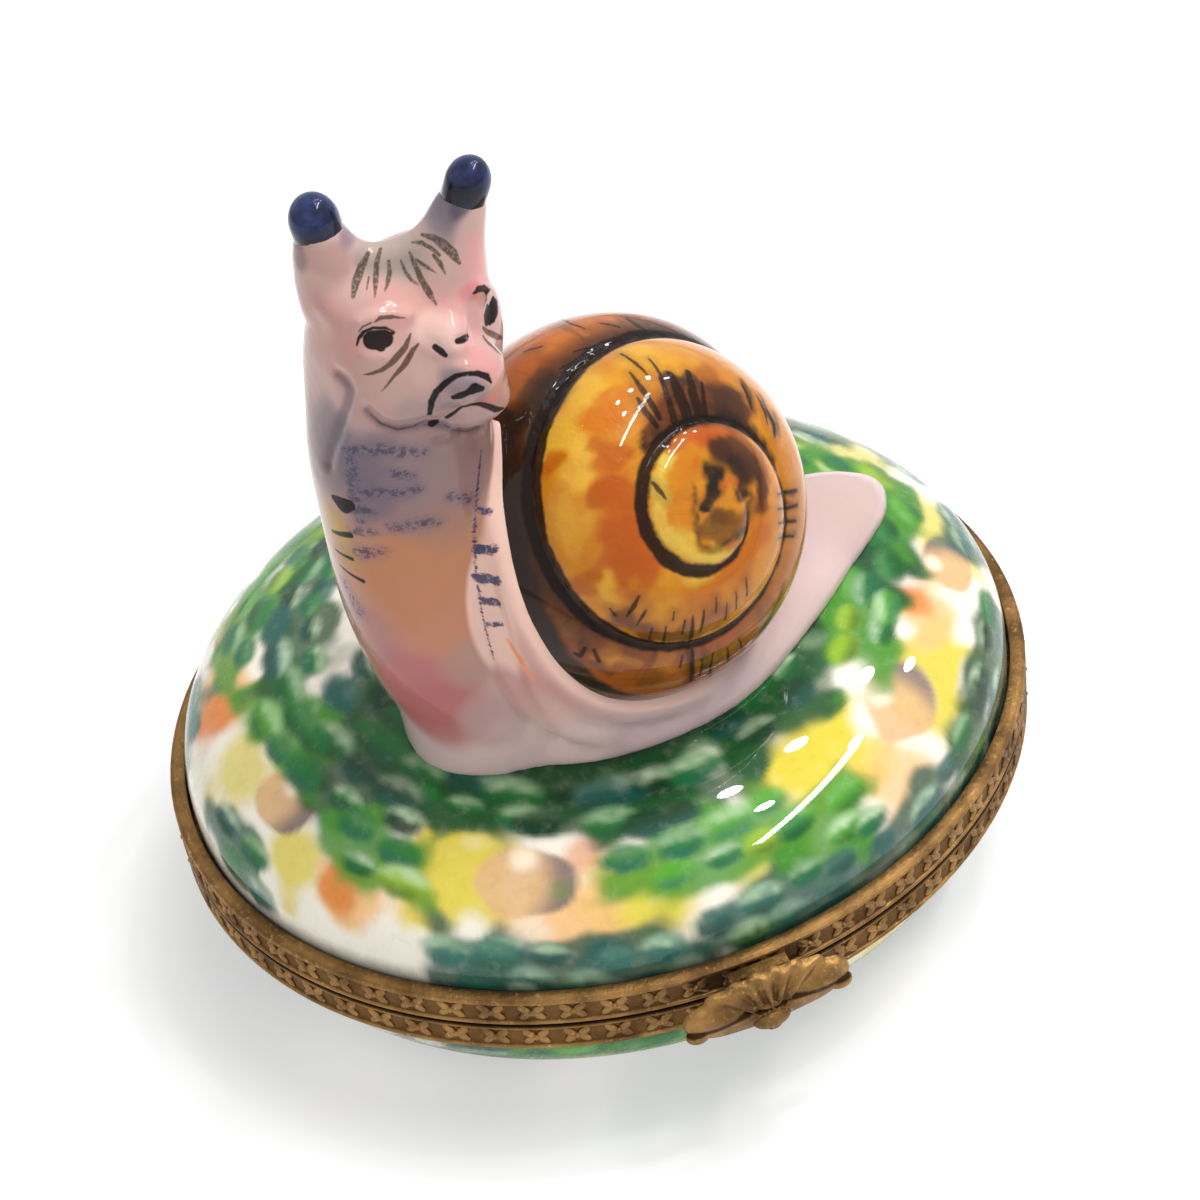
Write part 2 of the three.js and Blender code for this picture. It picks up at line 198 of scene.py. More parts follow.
class Finish:
    """One procedural material, built up in layers."""

    def __init__(self, name):
        self.material = bpy.data.materials.new(name)
        self.material.use_nodes = True
        self.tree = self.material.node_tree
        self.tree.nodes.clear()
        metres = self.add("ShaderNodeTexCoord", {}, [], "Object")
        self.place = self.along("SCALE", metres, Scale=1 / MM)

    def add(self, kind, settings, values, output=0):
        """Adds a node: its settings first, then the values or links of its sockets."""
        node = self.tree.nodes.new(kind)
        for key, value in settings.items():
            setattr(node, key, value)
        pairs = values.items() if isinstance(values, dict) else enumerate(values)
        for key, value in pairs:
            if isinstance(value, Tone):
                self.tree.links.new(value.socket, node.inputs[key])
            elif value is not None:
                node.inputs[key].default_value = value
        return Tone(self, node.outputs[output]) if node.outputs else node

    def along(self, operation, *vectors, Scale=None):
        """Vector maths; lengths and products come out as values."""
        values = dict(enumerate(vectors))
        if Scale is not None:
            values["Scale"] = Scale
        single = operation in ("DOT_PRODUCT", "LENGTH", "DISTANCE")
        output = "Value" if single else "Vector"
        return self.add("ShaderNodeVectorMath", {"operation": operation}, values, output)

    def part(self, vector):
        node = self.add("ShaderNodeSeparateXYZ", {}, [vector])
        outputs = node.socket.node.outputs
        return [Tone(self, outputs[i]) for i in range(3)]

    def join(self, x, y, z=0.0):
        return self.add("ShaderNodeCombineXYZ", {}, [x, y, z])

    def mix(self, share, under, over, blend="MIX"):
        settings = {"data_type": "RGBA", "blend_type": blend}
        return self.add("ShaderNodeMix", settings, {0: share, 6: under, 7: over}, 2)

    def lay(self, under, share, *colour):
        """A glaze colour laid over a tint."""
        return self.mix(share, under, paint(*colour))

    def fade(self, value, low, high):
        """0 at low to 1 at high, with soft ends; low may be the larger."""
        settings = {"interpolation_type": "SMOOTHSTEP"}
        return self.add("ShaderNodeMapRange", settings, [value, low, high, 0.0, 1.0])

    def clouds(self, size, detail=3.0, rough=0.55, place=None):
        """Noise with features of about this size in mm."""
        return self.add("ShaderNodeTexNoise", {}, {"Vector": place or self.place, "Scale": 1 / size,
                                                   "Detail": detail, "Roughness": rough}, "Fac")

    def most(self, a, b):
        return self.add("ShaderNodeMath", {"operation": "MAXIMUM"}, [a, b])

    def skin_tint(self):
        """The colours washed onto the piece's own skin."""
        return self.add("ShaderNodeAttribute", {"attribute_name": "washes"}, [], "Color")

    def mark(self, name):
        """A measure kept on the piece's own skin."""
        return self.add("ShaderNodeAttribute", {"attribute_name": name}, [], "Fac")

    def fire(self, colour, roughness, bump=None, bump_depth=0.02, **constants):
        """Joins the layers into the surface; bump heights are in mm."""
        values = {"Base Color": colour, "Roughness": roughness}
        values.update(constants)
        if bump is not None:
            relief = {"Strength": 1.0, "Distance": bump_depth * MM, "Height": bump}
            values["Normal"] = self.add("ShaderNodeBump", {}, relief, "Normal")
        surface = self.add("ShaderNodeBsdfPrincipled", {}, values, "BSDF")
        self.add("ShaderNodeOutputMaterial", {}, {"Surface": surface})
        return self.material


GLAZE = {"IOR": 1.5, "Coat Weight": 0.8, "Coat Roughness": 0.02, "Coat IOR": 1.34,
         "Specular IOR Level": 0.05}


def antique_brass():
    """Chased brass: bright on the tops, brown patina in the hollows, a fine grain with small painted glints,
    and painted shade where the two bands meet.
    """
    f = Finish("antique_brass")
    x, y, z = f.part(f.place)
    tarnish = f.clouds(3.2, 5, 0.6)
    grain = f.clouds(0.35, 4, 0.7)
    patina_and_painted_light = f.mix(f.fade(tarnish, 0.35, 0.68), paint(150, 114, 68), paint(98, 72, 44))
    # Painted glints: small light specks in the brass colour where the grain is high.
    patina_and_painted_light = f.lay(patina_and_painted_light, f.fade(grain, 0.55, 0.75) * 0.6, 212, 174, 108)
    out = ((x / OVAL) ** 2.0 + y ** 2.0) ** 0.5
    level = abs(z - PARTING)
    on_band = f.fade(level, BAND_HEIGHT + 0.2, BAND_HEIGHT) * f.fade(out, BAND_INNER + 0.2, BAND_INNER + 0.3)
    hollow = on_band * f.fade(out + (grain - 0.5) * 0.06, BAND_FIELD + 0.14, BAND_FIELD + 0.02)
    patina_and_painted_light = f.lay(patina_and_painted_light, hollow * 0.6, 84, 55, 30)
    # Painted shade in the gap between the lid band and the base band, dark along the parting.
    seam = f.fade(level, 0.3, 0.08) * on_band
    patina_and_painted_light = f.lay(patina_and_painted_light, seam * 0.9, 30, 19, 10)
    rough = 0.3 + 0.22 * tarnish + 0.15 * grain + hollow * 0.2
    return f.fire(patina_and_painted_light, rough, grain * 0.6 + tarnish, 0.1, Metallic=1.0)


# Lines drawn over the photo: spots in its pixels, with half widths in mm
LIP_LINE = [
    (446, 417, 0.12), (454, 412, 0.11), (462, 406, 0.1), (470, 404, 0.12), (478, 403, 0.16),
    (486, 405, 0.2), (496, 409, 0.2), (503, 408, 0.1),
]
FOLD_LINE = [
    (336, 373, 0.02), (344, 379, 0.06), (350, 389, 0.1), (348, 401, 0.12), (341, 420, 0.14),
    (336, 436, 0.14), (331, 448, 0.1), (327, 465, 0.02),
]
JAW_LINE = [
    (366, 410, 0.02), (380, 423, 0.02), (397, 428, 0.02), (413, 426, 0.02), (427, 422, 0.02),
    (443, 424, 0.02), (454, 430, 0.02), (466, 431, 0.02), (482, 426, 0.02),
]
BRUSHWORK = {
    "dark": [
        [(372, 339, 0.56), (383, 338, 0.54)], [(377, 343, 0.38), (380, 345, 0.34)],
        [(386, 334, 0.2), (393, 332, 0.1)],
        [(356, 345, 0.05), (358, 338, 0.1), (363, 331, 0.14), (372, 327, 0.12), (384, 327, 0.1),
        (394, 331, 0.05)], [(493, 297, 0.15), (492, 304, 0.27), (489, 313, 0.38), (489, 321, 0.2)],
        [(474, 292, 0.12), (478, 288, 0.2), (484, 287, 0.22), (488, 292, 0.18), (486, 299, 0.12)],
        [(435, 346, 0.2), (441, 350, 0.26), (445, 354, 0.16)],
        [(457, 340, 0.2), (463, 338, 0.24), (467, 335, 0.14)],
        [(429, 414, 0.15), (431, 401, 0.2), (436, 391, 0.2), (446, 382, 0.2), (456, 375, 0.15),
        (466, 373, 0.13), (478, 373, 0.18), (486, 376, 0.22), (491, 382, 0.08)],
        [(453, 397, 0.16), (460, 395, 0.24), (467, 392, 0.2), (474, 388, 0.34), (482, 388, 0.18)],
        LIP_LINE, [(431, 423, 0.22), (436, 421, 0.16)],
        [(334, 498, 0.26), (343, 505, 0.6), (349, 505, 0.42)], [(332, 531, 0.12), (350, 535, 0.24)],
        [(335, 549, 0.08), (352, 559, 0.16)], [(340, 565, 0.06), (363, 581, 0.17)],
        [(487, 306, 0.2), (486, 314, 0.32), (486, 322, 0.2)],
        [(495, 301, 0.25), (494, 310, 0.36), (492, 318, 0.25)],
    ],
    "tuft": [
        [(367, 252, 0.12), (361, 265, 0.24), (355, 281, 0.25), (352, 296, 0.1)],
        [(368, 276, 0.06), (366, 288, 0.05)],
        [(380, 247, 0.09), (376, 261, 0.16), (375, 279, 0.17), (374, 296, 0.05)],
        [(388, 260, 0.1), (389, 271, 0.15), (387, 281, 0.13), (384, 290, 0.04)],
        [(400, 259, 0.06), (405, 271, 0.11), (411, 279, 0.11), (418, 284, 0.05)],
        [(409, 251, 0.08), (414, 263, 0.15), (420, 277, 0.19), (428, 291, 0.22), (436, 304, 0.06)],
        [(415, 258, 0.08), (425, 265, 0.13), (436, 272, 0.03)],
        [(433, 254, 0.1), (439, 261, 0.16), (445, 273, 0.04)],
        [(411, 241, 0.06), (421, 241, 0.13), (431, 247, 0.13), (439, 254, 0.1)],
        [(421, 233, 0.1), (433, 236, 0.2), (443, 243, 0.3), (452, 252, 0.3), (459, 262, 0.1)],
    ],
    "cheek": [
        [(410, 333, 0.06), (405, 346, 0.19), (394, 359, 0.22), (382, 369, 0.15), (370, 373, 0.1),
        (363, 374, 0.04)],
        [(418, 343, 0.06), (412, 350, 0.18), (405, 363, 0.2), (394, 375, 0.12), (381, 391, 0.03)],
        [(483, 327, 0.14), (488, 332, 0.22), (497, 336, 0.2), (502, 337, 0.1)],
        [(483, 335, 0.08), (489, 343, 0.2), (497, 350, 0.24), (502, 352, 0.14)],
        [(358, 331, 0.05), (362, 326, 0.1), (370, 322, 0.08)],
        [(374, 321, 0.06), (380, 317, 0.15), (390, 316, 0.14), (405, 317, 0.04)],
        [(370, 414, 0.03), (380, 423, 0.06), (397, 429, 0.07), (413, 426, 0.06), (425, 420, 0.04)],
        [(443, 424, 0.04), (454, 430, 0.05), (466, 431, 0.05), (482, 426, 0.04)],
    ],
    "violet": [
        [(478, 510, 0.2), (490, 511, 0.16)], [(477, 549, 0.3), (493, 550, 0.28)],
        [(478, 578, 0.34), (497, 581, 0.3)], [(483, 601, 0.26), (499, 603, 0.24)],
        [(487, 624, 0.14), (502, 624, 0.12)],
        [(481, 450, 0.05), (477, 489, 0.06), (474, 535, 0.07), (477, 581, 0.07), (482, 613, 0.06),
        (494, 659, 0.03)],
    ],
    "dry": [
        [(347, 443, 0.16), (351, 466, 0.26), (355, 496, 0.24), (359, 519, 0.12)],
        [(347, 450, 0.3), (382, 449, 0.34), (423, 452, 0.15)], [(393, 473, 0.14), (412, 475, 0.1)],
        [(357, 493, 0.2), (377, 493, 0.2), (419, 489, 0.12)],
        [(391, 527, 0.14), (419, 524, 0.22), (439, 522, 0.1)], [(359, 552, 0.36), (382, 551, 0.14)],
        [(353, 507, 0.34), (373, 512, 0.14)], [(344, 582, 0.2), (359, 611, 0.3)],
        [(451, 496, 0.1), (469, 498, 0.14)], [(354, 530, 0.2), (375, 532, 0.1)],
    ],
    "orange": [
        [(508, 640, 0.08), (520, 659, 0.16), (533, 679, 0.06)],
    ],
    "crease": [FOLD_LINE, JAW_LINE],
}
# Colours of the skin from the foot up: heights between which each comes in, colour
BODY_GROUND = [
    # The lilac from height 39 to 47 is partly painted shade, where the neck faces down and forwards.
    (23.0, 31.0, (190, 142, 138)), (31.0, 40.0, (184, 138, 114)), (39.0, 47.0, (152, 128, 126)),
    (45.5, 52.0, (194, 160, 152)), (56.0, 60.0, (198, 168, 160)),
]
# Washes over them: middle, radius, colour, strength
BODY_WASHES = [
    ((-4.6, -7.9, 57.1), 1.5, (224, 158, 152), 0.75), ((-4.8, -8.1, 55.8), 1.2, (222, 156, 152), 0.6),
    ((17.6, -2.6, 23.1), 3.6, (200, 174, 174), 0.7), ((12.1, -8.4, 23.2), 3.0, (206, 182, 178), 0.6),
    ((-11.4, -10.1, 41.9), 2.3, (120, 100, 104), 0.65), ((-12.6, -6.6, 58.8), 1.6, (176, 138, 132), 0.6),
    ((-13.6, -10.0, 28.6), 4.6, (176, 102, 102), 0.85), ((-12.8, -10.6, 27.0), 3.8, (170, 98, 98), 0.65),
    # The grey washes on the neck's left side near height 46 are painted shade, on the side turned away from
    # the lamps.
    ((-15.4, -7.5, 33.0), 3.4, (158, 106, 106), 0.6), ((-15.2, -6.6, 46.0), 2.8, (128, 112, 114), 0.85),
    ((18.0, 1.0, 23.5), 6.0, (202, 176, 170), 0.8), ((-12.0, -10.0, 38.0), 5.6, (182, 122, 84), 0.9),
    # The lilac washes on the neck's front near heights 43 to 45 are partly painted shade, where the neck
    # faces down.
    ((-11.0, -10.6, 34.5), 4.2, (186, 126, 92), 0.8), ((-11.5, -10.0, 45.0), 4.8, (140, 114, 114), 0.9),
    ((-14.5, -8.0, 46.5), 3.4, (132, 112, 116), 0.8), ((-8.2, -9.5, 43.5), 3.2, (146, 120, 118), 0.85),
    ((-9.5, -10.0, 41.0), 2.6, (150, 116, 104), 0.6), ((-14.0, -7.5, 54.5), 3.2, (190, 140, 132), 0.6),
    ((-9.2, -8.4, 55.8), 2.4, (220, 164, 154), 0.6), ((-5.6, -8.6, 55.3), 0.85, (198, 82, 112), 0.85),
    ((-6.2, -8.9, 54.3), 2.4, (220, 160, 154), 0.65), ((-6.1, -11.0, 52.2), 1.7, (214, 146, 146), 0.65),
    ((-12.6, -9.5, 51.4), 2.5, (178, 142, 136), 0.6), ((-8.0, -9.7, 54.4), 1.7, (236, 202, 190), 0.7),
    ((-10.8, -9.9, 52.2), 2.2, (186, 158, 146), 0.6), ((-9.1, -6.8, 58.2), 2.2, (164, 154, 144), 0.8),
    ((-14.5, -7.6, 48.4), 1.8, (122, 110, 116), 0.75), ((-8.3, -11.5, 51.6), 1.4, (128, 116, 124), 0.85),
    ((-7.1, -11.6, 51.1), 1.2, (134, 122, 128), 0.8), ((-9.4, -10.9, 50.2), 1.3, (140, 124, 128), 0.75),
    ((-10.8, -10.4, 50.0), 1.3, (156, 138, 136), 0.65), ((-6.1, -11.3, 50.0), 1.2, (206, 136, 134), 0.8),
    ((-9.9, -11.0, 30.5), 2.6, (166, 140, 124), 0.6), ((-9.7, -11.7, 25.8), 2.6, (174, 148, 144), 0.7),
    ((-14.0, -8.9, 46.2), 1.9, (96, 86, 104), 0.6), ((-12.7, -9.7, 47.1), 1.8, (112, 98, 110), 0.5),
    ((-13.9, -9.2, 43.7), 1.7, (98, 86, 102), 0.6), ((-12.1, -9.9, 44.7), 1.6, (110, 96, 110), 0.5),
    ((-15.7, -7.0, 41.2), 1.7, (180, 142, 58), 0.9), ((-15.8, -7.2, 38.9), 1.5, (172, 134, 60), 0.75),
    ((-13.8, -5.3, 59.0), 1.0, (120, 104, 112), 0.7), ((-11.2, -5.8, 59.6), 1.0, (132, 118, 136), 0.75),
    ((-5.9, -6.7, 60.2), 1.4, (96, 92, 108), 0.85), ((-6.5, -6.8, 59.2), 1.3, (126, 116, 124), 0.7),
    ((-5.2, -7.4, 60.2), 0.8, (70, 66, 84), 0.7),
]
# Shares of red, green and blue that bring the washes to the photo's overall tones
BODY_DEPTH = (0.87, 0.83, 0.83)
SHELL_DEPTH = (0.77, 0.69, 0.3)


def body_paint():
    """The snail's skin: washes from pink through peach to lilac, and the fine brush strokes of its face."""
    f = Finish("body_paint")
    grain = f.clouds(0.22, 2, 0.6)
    height = f.part(f.place)[2]
    tint = f.skin_tint()
    by_shell = f.along("DISTANCE", f.place, SHELL_MIDDLE)
    tint = f.lay(tint, f.fade(by_shell, 13.35, 13.0) * f.fade(height, 22.0, 25.0), 216, 178, 164)
    tint = f.lay(tint, f.fade(by_shell, 12.65, 12.35), 206, 188, 186)
    streaks = f.clouds(0.5, 3, 0.65, f.along("MULTIPLY", f.place, (0.7, 0.7, 2.6)))
    ragged = (f.clouds(0.3, 3, 0.6) - 0.5) * 0.09
    # Painted shade in the modelled creases of the fold and jaw, grey-violet along their lines.
    tint = f.lay(tint, f.fade(f.mark("crease"), 0.4, -0.02) * 0.62, 92, 80, 92)
    flecks = f.clouds(0.5, 4, 0.75)
    tint = f.lay(tint, f.fade(f.mark("dry") + (streaks - 0.5) * 1.2, 0.8, 0.0) * 0.3, 92, 82, 104)
    dragged = f.fade(f.mark("dry") + (streaks - 0.5) * 1.1, 0.3, -0.1) * f.fade(flecks, 0.42, 0.58)
    tint = f.lay(tint, dragged * 0.85, 48, 44, 70)
    tint = f.lay(tint, f.fade(f.mark("orange") + ragged, 0.2, -0.1) * 0.85, 226, 128, 74)
    dashes = f.fade(f.mark("violet") + (streaks - 0.5) * 0.7, 0.1, -0.06) * f.fade(flecks, 0.34, 0.5)
    tint = f.lay(tint, dashes * 0.95, 48, 48, 84)
    hair = f.fade(f.mark("tuft") + ragged, 0.05, -0.06) * (0.6 + 0.35 * f.fade(grain, 0.35, 0.55))
    tint = f.lay(tint, hair, 76, 67, 56)
    tint = f.lay(tint, f.fade(f.mark("cheek") + ragged, 0.04, -0.06) * (0.75 + 0.25 * grain), 72, 45, 36)
    dark = f.fade(f.mark("dark") + ragged, 0.05, -0.06)
    tint = f.lay(tint, dark * 0.97, 13, 8, 8)
    ripple = f.clouds(2.2, 2)
    glaze = dict(GLAZE)
    glaze["Coat Weight"] = 0.8 - 0.5 * dark
    return f.fire(tint, 0.26 + 0.1 * grain, ripple, 0.12, **glaze)


# Washes on the shell: spot over the photo, radius, colour, strength
SHELL_WASHES = [
    ((588, 390), 2.2, (228, 184, 88), 0.9), ((641, 354), 2, (230, 180, 66), 0.9),
    ((560, 437), 2.2, (222, 180, 90), 0.9), ((580, 465), 1.8, (224, 182, 92), 0.85),
    ((574, 520), 1.8, (206, 160, 70), 0.85), ((677, 354), 2, (218, 160, 48), 0.85),
    ((624, 376), 1.4, (222, 160, 50), 0.7), ((602, 418), 1.5, (206, 118, 22), 0.9),
    ((608, 456), 1.1, (190, 98, 20), 0.85), ((558, 459), 0.9, (196, 110, 30), 0.85),
    ((548, 473), 0.6, (190, 104, 30), 0.7), ((613, 492), 1.5, (186, 92, 18), 0.9),
    ((624, 537), 2.2, (178, 84, 14), 0.92), ((635, 578), 2, (180, 88, 16), 0.9),
    ((585, 587), 1.1, (176, 96, 26), 0.8), ((602, 587), 0.8, (216, 166, 70), 0.8),
    ((580, 504), 0.9, (200, 130, 40), 0.6), ((563, 492), 1, (196, 130, 44), 0.6),
    ((591, 559), 1.1, (200, 128, 40), 0.7), ((663, 592), 1.6, (208, 146, 44), 0.85),
    ((704, 592), 1.8, (186, 108, 30), 0.85), ((738, 564), 1.8, (186, 110, 36), 0.85),
    ((760, 528), 1.4, (190, 112, 40), 0.8), ((696, 578), 1, (206, 166, 84), 0.7),
    ((763, 473), 1, (168, 92, 34), 0.7), ((732, 404), 1.6, (92, 46, 20), 0.9),
    ((718, 395), 1.2, (56, 26, 16), 0.9), ((710, 376), 1.2, (150, 78, 22), 0.7),
    ((785, 459), 1.1, (196, 124, 44), 0.8), ((788, 528), 1.2, (186, 128, 50), 0.8),
    ((782, 570), 1.2, (164, 104, 40), 0.8), ((763, 612), 1.2, (140, 84, 34), 0.8),
    ((671, 404), 1.5, (22, 12, 11), 0.97), ((691, 395), 1.5, (24, 13, 11), 0.95),
    ((652, 426), 0.8, (22, 13, 11), 0.9), ((699, 420), 1, (24, 13, 11), 0.9),
    ((624, 625), 1.2, (112, 62, 24), 0.8), ((649, 632), 1.3, (96, 54, 22), 0.8),
    ((680, 634), 1.2, (120, 72, 28), 0.75), ((718, 617), 1.2, (120, 74, 30), 0.7),
    ((660, 459), 1, (222, 190, 100), 0.95), ((659, 504), 1, (214, 180, 90), 0.95),
    ((680, 542), 1, (214, 180, 92), 0.95), ((713, 556), 0.9, (214, 178, 90), 0.9),
    ((691, 459), 0.8, (190, 100, 20), 0.9), ((685, 498), 0.8, (196, 122, 30), 0.9),
    ((688, 526), 0.6, (206, 146, 52), 0.8), ((707, 437), 1.1, (180, 84, 14), 0.9),
    ((680, 434), 0.6, (150, 72, 20), 0.8), ((727, 456), 1.4, (62, 28, 18), 0.95),
    ((749, 470), 1.2, (70, 34, 22), 0.93), ((716, 484), 0.8, (40, 18, 14), 0.95),
    ((757, 509), 1, (92, 56, 46), 0.9), ((740, 492), 0.8, (58, 28, 18), 0.9),
    # The small light orange wash at (735, 487) is a painted highlight on the spire's nub.
    ((735, 487), 0.35, (190, 104, 26), 0.9), ((716, 528), 1.1, (116, 74, 34), 0.95),
    ((738, 531), 0.8, (140, 96, 40), 0.9), ((702, 515), 0.35, (70, 36, 18), 0.85),
    ((538, 335), 2.4, (192, 108, 32), 0.9), ((594, 323), 2.4, (198, 116, 40), 0.9),
    ((519, 362), 1.8, (172, 90, 28), 0.85), ((563, 343), 1.4, (206, 120, 40), 0.7),
    ((641, 323), 1.3, (110, 70, 40), 0.8), ((663, 335), 1.2, (70, 50, 36), 0.8),
    ((547, 387), 1.7, (38, 26, 18), 0.9), ((530, 412), 1.2, (44, 28, 19), 0.9),
    ((513, 432), 1.2, (92, 54, 30), 0.85), ((511, 487), 1.2, (62, 38, 26), 0.9),
    ((522, 542), 1.2, (70, 40, 26), 0.9), ((552, 606), 0.9, (150, 92, 40), 0.9),
    ((541, 584), 0.6, (128, 72, 34), 0.8), ((571, 631), 0.9, (164, 102, 44), 0.9),
    ((585, 650), 0.7, (80, 46, 24), 0.85), ((608, 656), 1, (198, 126, 50), 0.95),
    ((635, 661), 0.8, (150, 84, 34), 0.85), ((668, 661), 1, (178, 112, 48), 0.9),
    ((649, 681), 1, (108, 66, 32), 0.85), ((713, 661), 1.2, (96, 62, 32), 0.85),
    ((735, 645), 1, (130, 82, 38), 0.8),
]
# Strokes of wet colour on the shell: colour, strength, line over the photo
SHELL_DABS = [
    ((22, 14, 10), 0.95, [(501, 466, 0.4), (506, 509, 0.45), (513, 551, 0.5), (521, 586, 0.55),
    (535, 619, 0.6), (554, 649, 0.65), (579, 677, 0.7), (609, 695, 0.8), (645, 701, 0.9), (683, 695, 0.8),
    (719, 678, 0.6), (749, 649, 0.45), (771, 616, 0.3), (784, 586, 0.2)]),
    ((24, 13, 11), 0.93, [(645, 444, 0.4), (658, 427, 0.7), (677, 413, 1), (699, 411, 1), (727, 419, 0.7),
    (754, 435, 0.4), (771, 460, 0.25)]),
    ((24, 13, 11), 0.92, [(669, 378, 0.5), (683, 391, 0.9), (699, 400, 0.8)]),
    ((30, 15, 12), 0.85, [(688, 378, 0.5), (702, 394, 0.7)]),
    ((66, 34, 18), 0.88, [(713, 397, 0.6), (735, 400, 0.75), (746, 413, 0.5)]),
    ((222, 194, 112), 0.95, [(669, 455, 0.3), (658, 477, 0.4), (656, 504, 0.45), (661, 526, 0.4),
    (675, 542, 0.4), (694, 555, 0.35), (713, 560, 0.25), (732, 553, 0.12)]),
    ((206, 130, 30), 0.92, [(691, 441, 0.45), (684, 468, 0.4), (683, 496, 0.35), (687, 523, 0.2)]),
    ((186, 88, 18), 0.9, [(669, 449, 0.3), (688, 435, 0.35), (713, 430, 0.4), (732, 431, 0.3)]),
    ((66, 32, 20), 0.93, [(717, 448, 0.6), (735, 446, 0.75), (750, 460, 0.7), (761, 479, 0.55),
    (764, 507, 0.3)]),
    ((140, 70, 24), 0.7, [(727, 427, 0.2), (743, 438, 0.3), (760, 455, 0.3), (768, 477, 0.2)]),
    ((22, 12, 10), 0.95, [(709, 468, 0.45), (719, 479, 0.55), (713, 493, 0.5), (705, 507, 0.35)]),
    ((36, 18, 13), 0.85, [(732, 460, 0.4), (743, 477, 0.4)]),
    ((128, 86, 38), 0.95, [(708, 529, 0.55), (724, 534, 0.6), (741, 526, 0.5), (749, 509, 0.3)]),
    ((104, 62, 26), 0.85, [(716, 518, 0.4), (732, 515, 0.35)]),
    ((44, 22, 12), 0.85, [(695, 487, 0.08), (695, 509, 0.1), (698, 537, 0.12), (704, 548, 0.1),
    (716, 551, 0.1), (732, 541, 0.08), (746, 526, 0.08), (752, 507, 0.08), (749, 494, 0.08),
    (741, 492, 0.06)]),
    # A small painted highlight on the spire's nub, in light orange.
    ((196, 104, 28), 0.9, [(724, 487, 0.14), (728, 481, 0.2), (735, 482, 0.14)]),
    ((196, 130, 60), 0.7, [(754, 493, 0.08), (753, 509, 0.1), (747, 523, 0.06)]),
    ((206, 124, 26), 0.8, [(598, 411, 0.6), (612, 400, 0.8), (628, 391, 0.5)]),
    ((186, 96, 20), 0.85, [(595, 444, 0.4), (614, 460, 0.55), (628, 452, 0.3)]),
    ((188, 104, 26), 0.85, [(549, 466, 0.35), (562, 457, 0.3)]),
    ((178, 86, 14), 0.85, [(595, 498, 0.5), (612, 487, 0.7), (634, 498, 0.8), (636, 526, 0.9),
    (645, 553, 0.7)]),
    ((176, 84, 14), 0.8, [(612, 559, 0.4), (634, 567, 0.6), (656, 562, 0.4)]),
    ((180, 96, 24), 0.8, [(576, 586, 0.3), (595, 575, 0.4), (609, 553, 0.3)]),
    ((196, 128, 38), 0.7, [(634, 586, 0.3), (650, 597, 0.35), (677, 594, 0.3)]),
    ((184, 104, 28), 0.75, [(719, 575, 0.5), (743, 559, 0.6), (763, 531, 0.5)]),
    ((104, 60, 24), 0.75, [(617, 616, 0.25), (645, 633, 0.4), (683, 638, 0.45), (716, 627, 0.3)]),
    ((216, 160, 66), 0.8, [(565, 498, 0.3), (571, 526, 0.45), (571, 553, 0.4)]),
    ((220, 172, 78), 0.8, [(609, 575, 0.2), (603, 592, 0.3), (614, 600, 0.2)]),
    ((214, 176, 92), 0.75, [(680, 570, 0.2), (699, 578, 0.3), (716, 570, 0.2)]),
    ((40, 26, 16), 0.85, [(743, 381, 0.15), (750, 397, 0.25), (754, 411, 0.1)]),
    ((44, 30, 16), 0.85, [(760, 394, 0.1), (768, 411, 0.22), (775, 430, 0.15)]),
    ((48, 32, 18), 0.8, [(775, 413, 0.15), (778, 433, 0.12)]),
    ((58, 40, 20), 0.8, [(779, 494, 0.06), (795, 492, 0.14)]),
    ((58, 40, 20), 0.8, [(779, 509, 0.05), (797, 505, 0.16)]),
    ((62, 42, 20), 0.8, [(780, 523, 0.05), (795, 520, 0.12)]),
    ((66, 44, 20), 0.7, [(780, 537, 0.04), (794, 535, 0.1)]),
    ((34, 22, 14), 0.85, [(688, 652, 0.12), (691, 668, 0.18), (688, 682, 0.1)]),
    ((38, 24, 14), 0.8, [(705, 652, 0.1), (706, 666, 0.14)]),
    ((38, 24, 14), 0.8, [(719, 647, 0.1), (720, 660, 0.14)]),
    ((40, 26, 16), 0.8, [(728, 649, 0.08), (727, 659, 0.1)]),
    ((92, 52, 22), 0.8, [(587, 652, 0.3), (595, 663, 0.35), (609, 674, 0.2)]),
    ((150, 92, 38), 0.8, [(538, 594, 0.25), (549, 614, 0.3), (571, 633, 0.3)]),
    ((206, 138, 52), 0.75, [(592, 655, 0.2), (617, 658, 0.3), (639, 663, 0.2)]),
    ((182, 116, 46), 0.75, [(656, 666, 0.25), (677, 668, 0.25)]),
    ((26, 18, 14), 0.85, [(507, 433, 0.25), (527, 411, 0.35), (551, 381, 0.45), (584, 353, 0.35),
    (617, 341, 0.2)]),
    ((96, 54, 26), 0.7, [(510, 422, 0.3), (524, 394, 0.35), (543, 372, 0.3)]),
]
